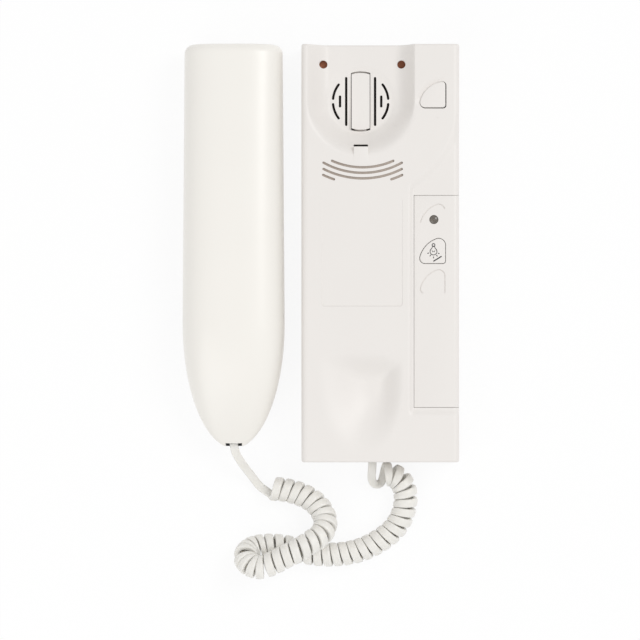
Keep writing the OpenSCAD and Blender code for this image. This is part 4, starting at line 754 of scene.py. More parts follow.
# Middle line of the coil from the handset's side on, and of the straight lead from each plug to it
COIL_AXIS = np.array([
    (-54.6, -120.4, 6.5), (-49, -121, 6.5), (-42.4, -122.6, 6.5), (-36.2, -125.4, 7),
    (-31.4, -129.4, 8), (-28.4, -134.4, 10), (-28, -139.2, 13), (-30.4, -143.6, 16.4),
    (-35.4, -147.2, 19), (-41.4, -150.8, 20.4), (-48, -154.2, 20.4), (-54.6, -157.6, 20),
    (-60.4, -159.8, 19), (-66.2, -158.6, 17), (-68.8, -155, 12.8), (-66.2, -151.4, 8.4),
    (-60.4, -149.8, 6.5), (-54.6, -149.6, 6.5), (-48.4, -150.2, 6.5), (-42.4, -151.8, 6.5),
    (-34.6, -153.6, 6.5), (-25, -154.2, 6.5), (-15.2, -153.2, 6.5), (-7.2, -150.8, 6.5),
    (-0.4, -147.2, 6.5), (5.8, -142.6, 6.5), (10.2, -137, 6.5), (12.9, -129.6, 6.5),
    (13.2, -122.6, 6.5), (11, -116.8, 6.5), (6.8, -113.5, 6.5), (2.2, -112.8, 6.5)]) * MM
HANDSET_LEAD = np.array([
    (-74.6, -96.7, 14), (-74, -101, 13.2), (-71.8, -105.4, 10.6), (-68.8, -109.8, 7.2),
    (-65.4, -114.4, 4.2), (-61.8, -119.2, 2.6)]) * MM
STATION_LEAD = np.array([
    (-3.8, -105.6, 12.3), (-3.9, -110, 11.6), (-4.2, -113.8, 8.6), (-3.6, -117, 5),
    (-1.6, -118.6, 2.6), (0.6, -118, 1.7)]) * MM
# Place on the coil's axis where the curls change hand, and angles round it, of which 270 is underneath
TURNING_POINT = 14
START_ANGLE = 220
TURNING_ANGLE = 225
END_ANGLE = 270
# Room in which the curls change hand, and how much closer they lie round it, over what reach
TURNING_ROOM = 2.5 * MM
TURNING_PACK = 0.9
TURNING_REACH = 9 * MM
# Steps between two points of the coil's axis and of a lead, and steps that give the axis's direction
AXIS_STEPS = 14
LEAD_STEPS = 8
STEPS_AHEAD = 3
STEPS_BEHIND = 2
# Rounds of smoothing of the cord's middle line, of its outward side and of its width
LINE_ROUNDS = 2
SIDE_ROUNDS = 6
WIDTH_ROUNDS = 3
# Least share of its width that a pressed curl keeps, and powers that square the section across and outwards
LEAST_WIDTH = 0.3
SECTION_ACROSS = 0.42
SECTION_OUT = 0.7


def running(steps):
    """Distance run at each point of a line, from its steps."""
    return np.concatenate([[0], np.cumsum(steps)])


def curl_angles(cord, steps):
    """Angle of the curls at each point of the coil's axis, and the turns that they make in all."""
    run = running(steps)
    turn = TURNING_POINT * AXIS_STEPS
    away = np.abs((run[1:] + run[:-1]) / 2 - run[turn])
    packed = 1 + TURNING_PACK * np.exp(-(away / TURNING_REACH) ** 2)
    turned_run = running(steps * packed * np.minimum(1, away / TURNING_ROOM))
    before, after = turned_run[turn], turned_run[-1] - turned_run[turn]
    turns_a = cord.curls_a + (START_ANGLE - TURNING_ANGLE) / 360
    turns_b = cord.curls_b + (END_ANGLE - TURNING_ANGLE) / 360
    way = turned_run - before
    turned = np.where(way < 0, -way / before * turns_a, way / after * turns_b)
    return TURNING_ANGLE + 360 * turned, turns_a + turns_b


def curled_line(cord):
    """Middle line of the cord from the handset's plug on, its outward sides and its points' distance."""
    axis = spline(COIL_AXIS, AXIS_STEPS)
    steps = np.linalg.norm(np.diff(axis, axis=0), axis=1)
    angle, turns = curl_angles(cord, steps)
    radius = (cord.coil_d - cord.thickness) / 2
    curl_run = running(np.hypot(steps, radius * np.radians(np.diff(angle))))
    rings = int(cord.rings * turns)
    points = np.arange(len(axis))
    place = np.interp(np.linspace(0, curl_run[-1], rings + 1), curl_run, points)
    k = np.minimum(place.astype(int), len(axis) - 2)
    share = (place - k)[:, None]
    ahead, behind = np.minimum(points + STEPS_AHEAD, points[-1]), np.maximum(points - STEPS_BEHIND, 0)
    tangents = axis[ahead] - axis[behind]
    along = unit(tangents[k] + (tangents[k + 1] - tangents[k]) * share)
    side = unit(np.cross([0, 0, 1.0], along))
    upward = np.cross(along, side)
    a = np.radians(np.interp(place, points, angle))[:, None]
    out = np.cos(a) * side + np.sin(a) * upward
    middle = axis[k] + (axis[k + 1] - axis[k]) * share + radius * out
    first = unit(HANDSET_LEAD[-1] - middle[0])
    last = unit((middle[-1] - middle[-2]) * (1, 1, 0))
    start = spline([*HANDSET_LEAD, middle[0] + cord.width * first, middle[0]], LEAD_STEPS)[:-1]
    end = spline([*STATION_LEAD, middle[-1] + cord.width * last, middle[-1]], LEAD_STEPS)[:-1][::-1]
    line = np.vstack([start, middle, end])
    down = np.array([0, 0, -1.0])
    sides = np.vstack([np.tile(down, (len(start), 1)), out, np.tile(down, (len(end), 1))])
    return line, sides, curl_run[-1] / rings


def evenly(line, sides, spacing):
    """The same line and sides with points at an even distance, and the line's length."""
    run = running(np.linalg.norm(np.diff(line, axis=0), axis=1))
    even = np.linspace(0, run[-1], int(run[-1] / spacing) + 1)
    pick = [np.column_stack([np.interp(even, run, part[:, i]) for i in range(3)]) for part in (line, sides)]
    return pick[0], pick[1], run[-1]


def relaxed(values, rounds, keep_ends=3):
    """Values with small kinks drawn out of them."""
    values = values.copy()
    for _ in range(rounds):
        inner = (values[:-2] + 2 * values[1:-1] + values[2:]) / 4
        values[keep_ends:-keep_ends] = inner[keep_ends - 1:len(inner) - keep_ends + 1]
    return values


def free_width(line, cord):
    """Width of the cord at each point: narrower where a bend presses the curls together."""
    widths = np.full(len(line), cord.width)
    near, far = cord.rings // 2, cord.rings * 3 // 2
    for i in range(len(line)):
        ahead = line[i + near:i + far]
        behind = line[max(0, i - far):max(0, i - near)]
        others = np.vstack([ahead, behind])
        if len(others):
            gap = np.linalg.norm(others - line[i], axis=1).min() - cord.gap
            widths[i] = min(cord.width, max(gap, cord.width * LEAST_WIDTH))
    return relaxed(widths, WIDTH_ROUNDS)


def powered(value, power):
    """Value raised to a power, its sign kept."""
    return np.sign(value) * np.abs(value) ** power


def section_rings(line, sides, widths, cord):
    """Flattened cross sections: width along the coil, thickness outwards."""
    along = unit(np.gradient(line, axis=0))
    out = unit(sides - along * (sides * along).sum(1)[:, None])
    across = np.cross(along, out)
    a = np.radians(360 * (np.arange(cord.sides) + 0.5) / cord.sides)
    wide = powered(np.cos(a), SECTION_ACROSS)
    thick = powered(np.sin(a), SECTION_OUT)
    return (line[:, None] + (widths[:, None] / 2 * wide)[..., None] * across[:, None]
            + (cord.thickness / 2 * thick)[None, :, None] * out[:, None])


class INTERCOM_OT_cord(bpy.types.Operator):
    """Winds the curly cord from the handset's plug to the station's"""

    bl_idname = "intercom.cord"
    bl_label = "Curly Cord"

    def execute(self, context):
        cord = context.scene.intercom_cord
        line, sides, length = evenly(*curled_line(cord))
        line = relaxed(line, LINE_ROUNDS)
        sides = unit(relaxed(sides, SIDE_ROUNDS))
        rings = section_rings(line, sides, free_width(line, cord), cord)
        tube = loft("curly_cord_tube", rings[::-1])
        dress(tube, FINISHES["cord_jacket"], SHARP_CORD)
        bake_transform(tube)
        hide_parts("handset_lead", "curly_cord", "base_lead")
        return {"FINISHED"}


# Station

# Ear grille: place and length of its straight slots, and radius, starts and span of its curved ones
GRILLE_LONG = (7.35 * MM, 25 * MM)
GRILLE_SHORT = (10.5 * MM, 6.2 * MM)
GRILLE_R = 14.1 * MM
GRILLE_STARTS = (5.7, 142.5, 185.7, 322.5)
GRILLE_SPAN = 31.8
# Sounder slots: their centre from the ear cradle's, half the span of each, and the two short ends below
SMILE_SHIFT = (0.9 * MM, 4 * MM)
SMILE_HALF_SPANS = (24, 29, 27)
SMILE_ENDS = (244.5, 288.3)
SMILE_END_SPAN = 7.2
# Round holes onto the board
VIEW_HOLES = ((-28.9 * MM, 96.1 * MM), (10.8 * MM, 96.1 * MM))
VIEW_HOLE_R = 2.1 * MM
# How square the mouth cradle's outline is, of which 2 is an ellipse, and rounds that find a place in it
MOUTH_POWER_LOW = 2.2
MOUTH_POWER_UP = 4.0
MOUTH_ROUNDS = 8
# Outlines of the block behind it, and degrees between their points
MOUTH_RINGS = 10
MOUTH_DEGREES = 5
# Ear cradle's wall: how hollow it is, and start and span of its soft edge as shares of the wall
WALL_POWER = 2.3
SOFT_LEAD = 0.12
SOFT_SPAN = 1.3
# Where that soft edge takes over: wholly below the cradle's centre, and partly to its left
SOFT_TOP = 2 * MM
SOFT_FADE = 16 * MM
SOFT_LEFT = 0.7
SOFT_LEFT_FADE = 10 * MM
# Finger hollow: how it fades towards the key's straight sides, and how far it goes under the key
DIP_FADE = 5 * MM
DIP_UNDER = 2 * MM
# Panel's lowered strip: its foot below the panel, its soft steps beside and below, its fade at the ear
STRIP_FOOT = 4 * MM
STRIP_SIDE_LEAD = 0.7 * MM
STRIP_SIDE_EASE = 0.4 * MM
STRIP_FOOT_LEAD = 0.9 * MM
STRIP_FOOT_EASE = 4.6 * MM
COLLAR_FADE = 12 * MM
# Grid of the front: its spacing, least room between lines, and lines on an edge and on the ear's wall
GRID = 0.6 * MM
LINE_ROOM = 0.2 * MM
EDGE_LINES = 9
WALL_LINES = 13


def bowl_share(x, y, s):
    """Place in the mouth cradle: 0 at its deepest, 1 at its edge, which is squarer above than below."""
    share = np.ones_like(x)
    for _ in range(MOUTH_ROUNDS):
        deep = 1 - np.minimum(share, 1)
        across = np.abs(x - s.cradle_x - s.mouth_lean * deep) / (s.mouth_w / 2)
        down = y - s.mouth_y + s.mouth_shift * deep
        along = np.abs(down) / np.where(down < 0, s.mouth_low, s.mouth_up)
        power = np.where(down < 0, MOUTH_POWER_LOW, MOUTH_POWER_UP)
        share = (across ** power + along ** power) ** (1 / power)
    return share


def ear_fall(x, y, s):
    """Depth of the ear cradle, whose wall has a crisp edge on the right and a soft one elsewhere."""
    flat = s.ear_r - s.ear_depth
    from_axis = np.hypot(x - s.cradle_x, y - s.ear_y)
    reach = np.where(y > s.ear_y, np.abs(x - s.cradle_x), from_axis)
    rise = (reach - flat) / s.ear_depth
    hollow = np.clip(rise, 0, 1) ** WALL_POWER
    past = np.clip(reach - s.ear_r, 0, s.ear_rim)
    rounded = 1 - (s.ear_rim - np.sqrt(s.ear_rim ** 2 - (s.ear_rim - past) ** 2)) / s.ear_depth
    crisp = np.where(rise < 1, np.minimum(hollow, 1 - s.ear_rim / s.ear_depth), rounded)
    soft = smooth((rise + SOFT_LEAD) / SOFT_SPAN)
    below = smooth((s.ear_y + SOFT_TOP - y) / SOFT_FADE)
    below = np.maximum(below, SOFT_LEFT * smooth((s.cradle_x - x) / SOFT_LEFT_FADE))
    dish = s.dish_depth * (1 - smooth((from_axis - s.dish_r) / s.dish_w + 1))
    return s.ear_depth * (1 - crisp * (1 - below) - soft * below) + dish


def key_dip(x, y, s):
    """Hollow that leads a finger to the door key's round side."""
    across, up = s.key_x - x, y - s.door_y
    past = np.hypot(across, up) - s.key_r
    fade = smooth(across / DIP_FADE) * smooth(up / DIP_FADE)
    return s.dip_depth * fade * np.where(past > -DIP_UNDER, 1 - smooth(past / s.dip_w), 0)


def front_height(x, y, s):
    """Height of the cover's front above the wall, without its sharp-edged cuts."""
    reach = np.hypot(x - s.cradle_x, y - s.ear_y)
    foot = s.panel_foot - STRIP_FOOT
    beside = smooth((x - s.column_x + s.step_w + STRIP_SIDE_LEAD) / (s.step_w + STRIP_SIDE_EASE))
    above = smooth((y - foot + STRIP_FOOT_LEAD) / STRIP_FOOT_EASE)
    collar = smooth((reach - s.collar_r + s.collar_w / 2) / s.collar_w)
    round_ear = collar * smooth((s.ear_y - y) / COLLAR_FADE)
    z = s.depth - s.panel_drop * beside * above * round_ear
    z = z - s.mouth_depth * smooth((1 - bowl_share(x, y, s)) / s.mouth_slope)
    z = z - ear_fall(x, y, s) - key_dip(x, y, s)
    for half, place, radius in ((s.width / 2, x, s.side_r), (s.height / 2, y, s.end_r)):
        inside = np.clip(radius - (half - np.abs(place)), 0, radius)
        z = z - (radius - np.sqrt(np.maximum(radius ** 2 - inside ** 2, 0)))
    return z


def edge_lines(half, radius):
    """Grid lines across a side, close together where its edges are rounded."""
    near = radius * (1 - np.cos(np.radians(np.linspace(0, 90, EDGE_LINES))))
    inner = np.linspace(-half + radius, half - radius, int(2 * (half - radius) / GRID) + 1)
    return np.concatenate([-half + near[:-1], inner, half - near[:-1][::-1]])


def with_lines(lines, extra):
    """Grid lines with others among them, without any that nearly meet these."""
    far = [v for v in lines if np.abs(extra - v).min() > LINE_ROOM]
    return np.array(sorted(far + list(extra)))


def front_block(s):
    """Solid whose upper side is the cover's front."""
    quarter = np.radians(np.linspace(0, 90, WALL_LINES))
    wall = np.concatenate([s.ear_r - s.ear_depth * (1 - np.sin(quarter)),
                           s.ear_r + s.ear_rim * (1 - np.cos(quarter[2::2]))])
    xs = edge_lines(s.width / 2, s.side_r)
    xs = with_lines(xs, s.cradle_x + np.concatenate([-wall, wall]))
    ys = edge_lines(s.height / 2, s.end_r)
    x, y = np.meshgrid(xs, ys)
    top = np.column_stack([x.ravel(), y.ravel(), front_height(x, y, s).ravel()])
    nx, ny = len(xs), len(ys)
    faces = [(j * nx + i, j * nx + i + 1, (j + 1) * nx + i + 1, (j + 1) * nx + i)
             for j in range(ny - 1) for i in range(nx - 1)]
    border = ([i for i in range(nx)] + [j * nx + nx - 1 for j in range(1, ny)]
              + [(ny - 1) * nx + i for i in range(nx - 2, -1, -1)] + [j * nx for j in range(ny - 2, 0, -1)])
    start = len(top)
    low = top[border].copy()
    low[:, 2] = s.tray
    for k in range(len(border)):
        n = (k + 1) % len(border)
        faces.append((border[n], border[k], start + k, start + n))
    faces.append(tuple(start + k for k in range(len(border) - 1, -1, -1)))
    return piece("front_cover_shell", np.vstack([top, low]), faces)


def ear_block(s, grow):
    """Two solids of the ear cradle grown by the wall, which the inside keeps clear of."""
    flat = s.ear_r - s.ear_depth
    profile = np.vstack([arc((flat, s.depth), s.ear_depth + grow, 270, 360, 24),
                         [(s.ear_r + grow, s.depth + OVER)]])
    floor = s.depth - s.ear_depth - grow
    bowl = turned("ear_bowl", (s.cradle_x, s.ear_y),
                  [(0, floor)] + [tuple(p) for p in profile] + [(0, s.depth + OVER)])
    outline = np.vstack([profile * (-1, 1), profile[::-1]])
    rings = [np.column_stack([s.cradle_x + outline[:, 0], np.full(len(outline), y), outline[:, 1]])
             for y in (s.height / 2 + OVER, s.ear_y)]
    return [bowl, loft("ear_run_out", rings)]


def mouth_block(s, grow):
    """Solid of the mouth cradle grown by the wall, which the inside keeps clear of."""
    angles = np.radians(np.arange(0, 360, MOUTH_DEGREES))
    below = np.sin(angles) < 0
    reach = np.where(below, s.mouth_low, s.mouth_up) + grow
    power = 2 / np.where(below, MOUTH_POWER_LOW, MOUTH_POWER_UP)
    across, along = powered(np.cos(angles), power), powered(np.sin(angles), power)
    rings = []
    for t in np.linspace(0, 1, MOUTH_RINGS):
        share = 1 - s.mouth_slope * t
        x = s.cradle_x + s.mouth_lean * (1 - share) + (s.mouth_w / 2 + grow) * share * across
        y = s.mouth_y - s.mouth_shift * (1 - share) + reach * share * along
        z = s.depth - s.mouth_depth * float(smooth(t)) - grow
        rings.append(np.column_stack([x, y, np.full(len(x), z)]))
    rings.insert(0, rings[0] + (0, 0, grow + OVER))
    return loft("mouth_block", rings[::-1])


def panel_seat(s, grow):
    """Solids of the side panel's seat, grown outwards."""
    gap = s.panel_gap / 2 + grow
    under = s.depth - s.panel_drop - s.panel_t
    right = s.width / 2
    low = s.panel_foot - gap
    end = (right + OVER, s.panel_top + gap, s.depth + OVER)
    return [box("seat", (s.column_x - gap, low, under - gap), end),
            box("skirt_seat", (right - s.side_r - gap, low, s.skirt_foot - gap), end)]


# Play round the sounder's cloth, a cord plug and the cover screw's head
CLOTH_PLAY = 0.15 * MM
PLUG_PLAY = 0.4 * MM
SCREW_PLAY = 0.15 * MM
# Depth of the way for that head, and degrees between its points
SCREW_SINK = 1.6 * MM
SCREW_DEGREES = 8


def cover_inside(s):
    """Solid of the cover's hollow."""
    half_w, half_h = s.width / 2 - s.wall, s.height / 2 - s.wall
    roof = s.depth - s.wall
    split = s.column_x - s.step_w - s.wall
    inside = box("inside", (-half_w, -half_h, s.tray - OVER), (split, half_h, roof))
    right = box("inside_right", (split - OVER, -half_h, s.tray - OVER),
                (half_w, half_h, roof - s.panel_drop))
    low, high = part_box("sounder_cloth")
    pocket = box("pocket", (low[0] - CLOTH_PLAY, low[1] - CLOTH_PLAY, roof - OVER),
                 (high[0] + CLOTH_PLAY, high[1] + CLOTH_PLAY, s.depth - s.slot_roof))
    combine(inside, "UNION", [right, pocket])
    kept = ear_block(s, s.wall) + [mouth_block(s, s.wall)] + panel_seat(s, s.wall)
    return combine(inside, "DIFFERENCE", kept)


def screw_way():
    """Round cut along Y about the cover screw's head."""
    low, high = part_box("cover_screw")
    radius = (high[0] - low[0]) / 2 + SCREW_PLAY
    angles = np.radians(np.arange(0, 360, SCREW_DEGREES))
    x = (low[0] + high[0]) / 2 + radius * np.cos(angles)
    z = (low[2] + high[2]) / 2 + radius * np.sin(angles)
    ends = (low[1] - 2 * OVER, low[1] + SCREW_SINK)
    return loft("screw_way", [np.column_stack([x, np.full(len(x), y), z]) for y in ends])


def hook_outline(cx, cy, width, radius):
    """Outline with straight sides and arched ends."""
    half = math.degrees(math.asin(width / 2 / radius))
    return np.vstack([arc((cx, cy), radius, middle - half, middle + half, 14) for middle in (90, 270)])


def grille_cuts(s):
    """Slots of the ear grille and the sounder, which don't meet."""
    floor = s.depth - s.ear_depth
    low, high = floor - s.wall - OVER, floor + OVER
    ear = (s.cradle_x, s.ear_y)
    outlines = [slot_outline(ear[0] + side * place, ear[1], length, s.slot_w)
                for side in (-1, 1) for place, length in (GRILLE_LONG, GRILLE_SHORT)]
    outlines += [arc_slot_outline(ear, GRILLE_R, s.slot_w, start, start + GRILLE_SPAN)
                 for start in GRILLE_STARTS]
    outlines.append(hook_outline(*ear, s.hook_w, s.hook_r))
    slots = [prism("slot", outline, low, high) for outline in outlines]
    slots += [rod("hole", place, VIEW_HOLE_R, low, s.depth + OVER, 40) for place in VIEW_HOLES]
    smile = np.array(ear) + SMILE_SHIFT
    spans = [(i, 270 - half, 270 + half) for i, half in enumerate(SMILE_HALF_SPANS)]
    spans += [(len(SMILE_HALF_SPANS), start, start + SMILE_END_SPAN) for start in SMILE_ENDS]
    for i, start, end in spans:
        outline = arc_slot_outline(smile, s.smile_r + i * s.smile_pitch, s.smile_w, start, end)
        slots.append(prism("slot", outline, s.depth - s.wall - OVER, s.depth + OVER))
    return together("slots", slots)


# Tongue's upper side in millimetres: place from the cradle's edge or the tip, and height over the front
TONGUE_ROOT_LINE = ((-6, -0.3), (-5, -0.05), (-3, 0.16), (0, 0.22))
TONGUE_TIP_LINE = ((-0.9, 0.2), (-0.3, 0.05), (0, -0.4))
# How the tongue narrows from its root, its thickness at the root and where it is free, and its rounded edge
TONGUE_ROOT = 6 * MM
TONGUE_TAPER = 0.8 * MM
TONGUE_TAPER_RUN = 9 * MM
TONGUE_ROOT_T = 0.6 * MM
TONGUE_FREE = 2.4 * MM
TONGUE_FREE_T = 2.2 * MM
TONGUE_EDGE = 0.5 * MM
# Slit beyond the tongue's tip: how much narrower it is than the tongue, its width and its corners
SLIT_INSET = 0.7 * MM
SLIT_W = 1.2 * MM
SLIT_R = 0.5 * MM


def tongue(s):
    """Tapered tongue below the ear cradle, soft along its sides."""
    foot = s.ear_y - s.ear_r
    line = [(foot + y * MM, rise * MM) for y, rise in TONGUE_ROOT_LINE]
    line += [(foot + s.tongue_l + y * MM, rise * MM) for y, rise in TONGUE_TIP_LINE]
    edge = TONGUE_EDGE
    rings = []
    for y, rise in line:
        half = s.tongue_w / 2 - TONGUE_TAPER * float(smooth((y - foot + TONGUE_ROOT) / TONGUE_TAPER_RUN))
        under = s.depth - (TONGUE_FREE_T if y > foot - TONGUE_FREE else TONGUE_ROOT_T)
        top = s.depth + rise
        right = [(half, under), (half, top - edge * 0.7), (half - edge * 0.3, top - edge * 0.2),
                 (half - edge, top)]
        left = [(-x, z) for x, z in right[::-1]]
        rings.append([(s.cradle_x + x, y, z) for x, z in right + left])
    return loft("tongue", rings)


def tongue_slit(s):
    """Cut of the slit beyond the tongue's tip."""
    tip = s.ear_y - s.ear_r + s.tongue_l
    half = s.tongue_w / 2 - SLIT_INSET
    outline = rounded_rectangle((s.cradle_x - half, tip), (s.cradle_x + half, tip + SLIT_W), SLIT_R)
    return prism("tongue_slot", outline, s.depth - s.ear_depth - s.wall - OVER, s.depth + OVER)


# Label recess: its middle from the cradles', its corners and sloped edge, and how it runs out upwards
LABEL_SHIFT = 0.6 * MM
LABEL_CORNER = 1.2 * MM
LABEL_SLOPE = 0.45 * MM
LABEL_FADE = 3
# Height that keeps the slope's upper end off the front's own face
LABEL_CLEAR = 0.001 * MM


def label_recess(s):
    """Cut for the label, which runs out towards its upper end."""
    middle = s.cradle_x + LABEL_SHIFT
    rings = []
    for grow, share in ((0, 0), (0, 0.1), (LABEL_SLOPE, 1)):
        low = (middle - s.label_w / 2 - grow, s.label_foot - grow)
        high = (middle + s.label_w / 2 + grow, s.label_foot + s.label_h + grow)
        outline = rounded_rectangle(low, high, LABEL_CORNER + grow)
        up = np.clip((outline[:, 1] - s.label_foot) / s.label_h, 0, 1)
        depth = s.label_depth * (1 - up ** LABEL_FADE) * (1 - share)
        rings.append(np.column_stack([outline, s.depth - depth + share * LABEL_CLEAR]))
    rings.append(rings[-1] + (0, 0, OVER))
    return loft("label_recess", rings)


# Straight foot of the cover above the rear tray, below the bevel of its seam
SEAM_FOOT = 0.02 * MM
# Opening under the panel: its room at the panel's left side and ends, and at the skirt
WINDOW_LEFT = 1 * MM
WINDOW_ENDS = 3 * MM
WINDOW_SKIRT = 0.35 * MM
# Door key's opening: its shift, how much wider it is for the key's flange, and its depth
DOOR_WAY_SHIFT = (0.2 * MM, -0.2 * MM)
DOOR_WAY_FLANGE = 1.8 * MM
DOOR_WAY_DEPTH = 7 * MM
# Round gate mark on the front
GATE_MARK_AT = (28.8 * MM, 68.5 * MM)
GATE_MARK_R = 0.35 * MM
GATE_MARK_DEPTH = 0.2 * MM


def cover_cuts(s):
    """Openings and hollows with sharp edges in the cover."""
    top = s.depth + OVER
    window = box("window", (s.column_x + WINDOW_LEFT, s.light_y - WINDOW_ENDS, s.skirt_foot),
                 (s.width / 2 - s.side_r - s.wall - WINDOW_SKIRT, s.panel_top - WINDOW_ENDS, s.depth))
    key = np.array((s.key_x, s.door_y))
    door_foot = s.depth - DOOR_WAY_DEPTH
    below = prism("door_way_below", key_outline(s, key, DOOR_WAY_FLANGE, s.door_corner),
                  door_foot, s.depth - s.wall - s.panel_drop)
    way = prism("door_way", key_outline(s, key + DOOR_WAY_SHIFT, s.key_gap, s.door_corner), door_foot, top)
    low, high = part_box("station_plug")
    end = -s.height / 2
    plug = box("plug_way", (low[0] - PLUG_PLAY, end - OVER, low[2] - PLUG_PLAY),
               (high[0] + PLUG_PLAY, end + s.wall + OVER, high[2] + PLUG_PLAY))
    mark = rod("gate_mark", GATE_MARK_AT, GATE_MARK_R, s.depth - GATE_MARK_DEPTH, top, 20)
    return [grille_cuts(s), label_recess(s), tongue_slit(s), window, below, way, plug, screw_way(), mark]


class INTERCOM_OT_cover(bpy.types.Operator):
    """Moulds the station's front cover with its two cradles, slots and openings"""

    bl_idname = "intercom.cover"
    bl_label = "Front Cover"

    def execute(self, context):
        s = context.scene.intercom_station
        half = np.array((s.width / 2, s.height / 2))
        cover = front_block(s)
        outline = rounded_rectangle(-half, half, s.corner_r)
        drawn_in = rounded_rectangle(-half + s.seam, half - s.seam, s.corner_r - s.seam)
        sides = loft("outline", [
            at_height(drawn_in, 0), at_height(drawn_in, s.tray + SEAM_FOOT),
            at_height(outline, s.tray + s.seam), at_height(outline, s.depth + OVER)])
        combine(cover, "INTERSECT", [sides])
        combine(cover, "UNION", [tongue(s)])
        combine(cover, "DIFFERENCE", [cover_inside(s)] + panel_seat(s, 0))
        combine(cover, "DIFFERENCE", cover_cuts(s))
        add(cover, "station", "station_plastic", nodes=["front_cover"], angle=SHARP_COVER)
        return {"FINISHED"}


# Dark sheet of painted shade under the grille slots, from the ear cradle's centre: its reach and curve's
# end, the lever's room, its head and shoulder
SHADE_SHEET_R = 15.4 * MM
SHADE_SHEET_CURVE_END = 36
SHADE_SHEET_INNER = 5.8 * MM
SHADE_SHEET_HEAD = 12.6 * MM
SHADE_SHEET_SHOULDER = 9.2 * MM
SHADE_SHEET_T = 0.12 * MM
SHADE_SHEET_PLAY = 0.05 * MM


class INTERCOM_OT_shade_sheet(bpy.types.Operator):
    """Lays a dark sheet under the slots of the ear grille, on both sides of the lever, as painted shade in
    the slots
    """

    bl_idname = "intercom.gauze"
    bl_label = "Grille Shade Sheet"

    def execute(self, context):
        s = context.scene.intercom_station
        top = s.depth - s.ear_depth - s.wall - SHADE_SHEET_PLAY
        start = -math.degrees(math.acos(SHADE_SHEET_INNER / SHADE_SHEET_R))
        half = np.vstack([arc((0, 0), SHADE_SHEET_R, start, SHADE_SHEET_CURVE_END, 28),
                          [(SHADE_SHEET_SHOULDER, SHADE_SHEET_HEAD), (SHADE_SHEET_INNER, SHADE_SHEET_HEAD)]])
        ear = np.array((s.cradle_x, s.ear_y))
        halves = [prism("half", ear + half * (side, 1), top - SHADE_SHEET_T, top) for side in (-1, 1)]
        # Painted shade: this near-black sheet stands in for the shade inside the cover under the grille
        # slots
        add(together("grille_gauze", halves), "station", "soft_rubber", finish="gauze")
        return {"FINISHED"}


# Panel: its bevelled edge, and play round the lamp
PANEL_EDGE = 0.25 * MM
LAMP_PLAY = 0.1 * MM
# Groove of a blank key place: its depth and width, what its foot and right side lack, and that side's width
GROOVE_DEPTH = 0.4 * MM
GROOVE_W = 0.45 * MM
GROOVE_TRIM = 0.6 * MM
GROOVE_SIDE = 2 * MM
# How much more is left out of the upper groove, at its foot and at its right side
UPPER_FOOT = 2.4 * MM
UPPER_SIDE = 9.4 * MM


def panel_plate(s):
    """Side panel with its skirt, its front edges bevelled."""
    right, top = s.width / 2, s.depth - s.panel_drop
    left, edge = s.column_x, PANEL_EDGE
    profile = [(left, top - s.panel_t), (right - s.side_r, top - s.panel_t),
               (right - s.panel_t, top - s.side_r), (right - s.panel_t, s.skirt_foot), (right, s.skirt_foot)]
    profile += [tuple(p) for p in arc((right - s.side_r, top - s.side_r), s.side_r, 0, 90, 12)]
    profile += [(left + edge, top), (left + edge * 0.3, top - edge * 0.3), (left, top - edge)]
    x, z = np.array(profile).T
    rings = [np.column_stack([x, np.full(len(x), y), np.minimum(z, top - inset)])
             for y, inset in ((s.panel_top, edge), (s.panel_top - edge, 0), (s.panel_foot + edge, 0),
                              (s.panel_foot, edge))]
    return loft("side_panel_plate", rings)


def blank_groove(s, y, foot_h, side_h):
    """Cut of a blank key place's groove, without its foot and part of its right side."""
    right, top = s.width / 2, s.depth - s.panel_drop
    low, high = top - OVER, top + OVER
    groove = prism("groove", key_outline(s, (s.key_x, y), 0), top - GROOVE_DEPTH, high)
    island = prism("island", key_outline(s, (s.key_x, y), -GROOVE_W), low, high + OVER)
    foot = box("foot", (s.column_x, y - OVER, low), (right, y + foot_h + GROOVE_TRIM, high + OVER))
    side = box("side", (s.key_x - GROOVE_SIDE, y - OVER, low),
               (right, y + side_h + GROOVE_TRIM, high + OVER))
    return combine(groove, "DIFFERENCE", [island, foot, side])


class INTERCOM_OT_panel(bpy.types.Operator):
    """Makes the side panel with its key opening, lamp hole and blank key places"""

    bl_idname = "intercom.panel"
    bl_label = "Side Panel"

    def execute(self, context):
        s = context.scene.intercom_station
        panel = panel_plate(s)
        top = s.depth - s.panel_drop
        low, high = top - s.panel_t - OVER, top + OVER
        cuts = [prism("light_way", key_outline(s, (s.key_x, s.light_y), s.key_gap), low, high),
                rod("lamp_way", box_middle("status_light")[:2], s.lamp_d / 2 + LAMP_PLAY, low, high),
                blank_groove(s, s.light_y + s.blank_up, UPPER_FOOT, UPPER_SIDE),
                blank_groove(s, s.light_y - s.blank_down, 0, 0)]
        combine(panel, "DIFFERENCE", [together("panel_cuts", cuts)])
        add(panel, "station", "station_plastic", nodes=["side_panel"], angle=SHARP_COVER)
        return {"FINISHED"}


# Key's flange: its foot below the face's underside, its thickness and how much wider it is
FLANGE_FOOT = 1.7 * MM
FLANGE_T = 1.4 * MM
FLANGE_W = 1.2 * MM


def key_cap(name, s, y, face, under, top_r=KEY_TOP_R):
    """Key with a flange below and a rounded upper edge."""
    corner = (s.key_x, y)
    foot = under - FLANGE_FOOT
    top = face + s.key_rise
    flange = key_outline(s, corner, FLANGE_W, top_r)
    rings = [at_height(flange, foot), at_height(flange, foot + FLANGE_T),
             at_height(key_outline(s, corner, 0, top_r), foot + FLANGE_T)]
    for angle in np.linspace(0, 90, 6):
        a = math.radians(angle)
        grow = -s.key_edge * (1 - math.cos(a))
        rings.append(at_height(key_outline(s, corner, grow, top_r), top - s.key_edge * (1 - math.sin(a))))
    return loft(name, rings)


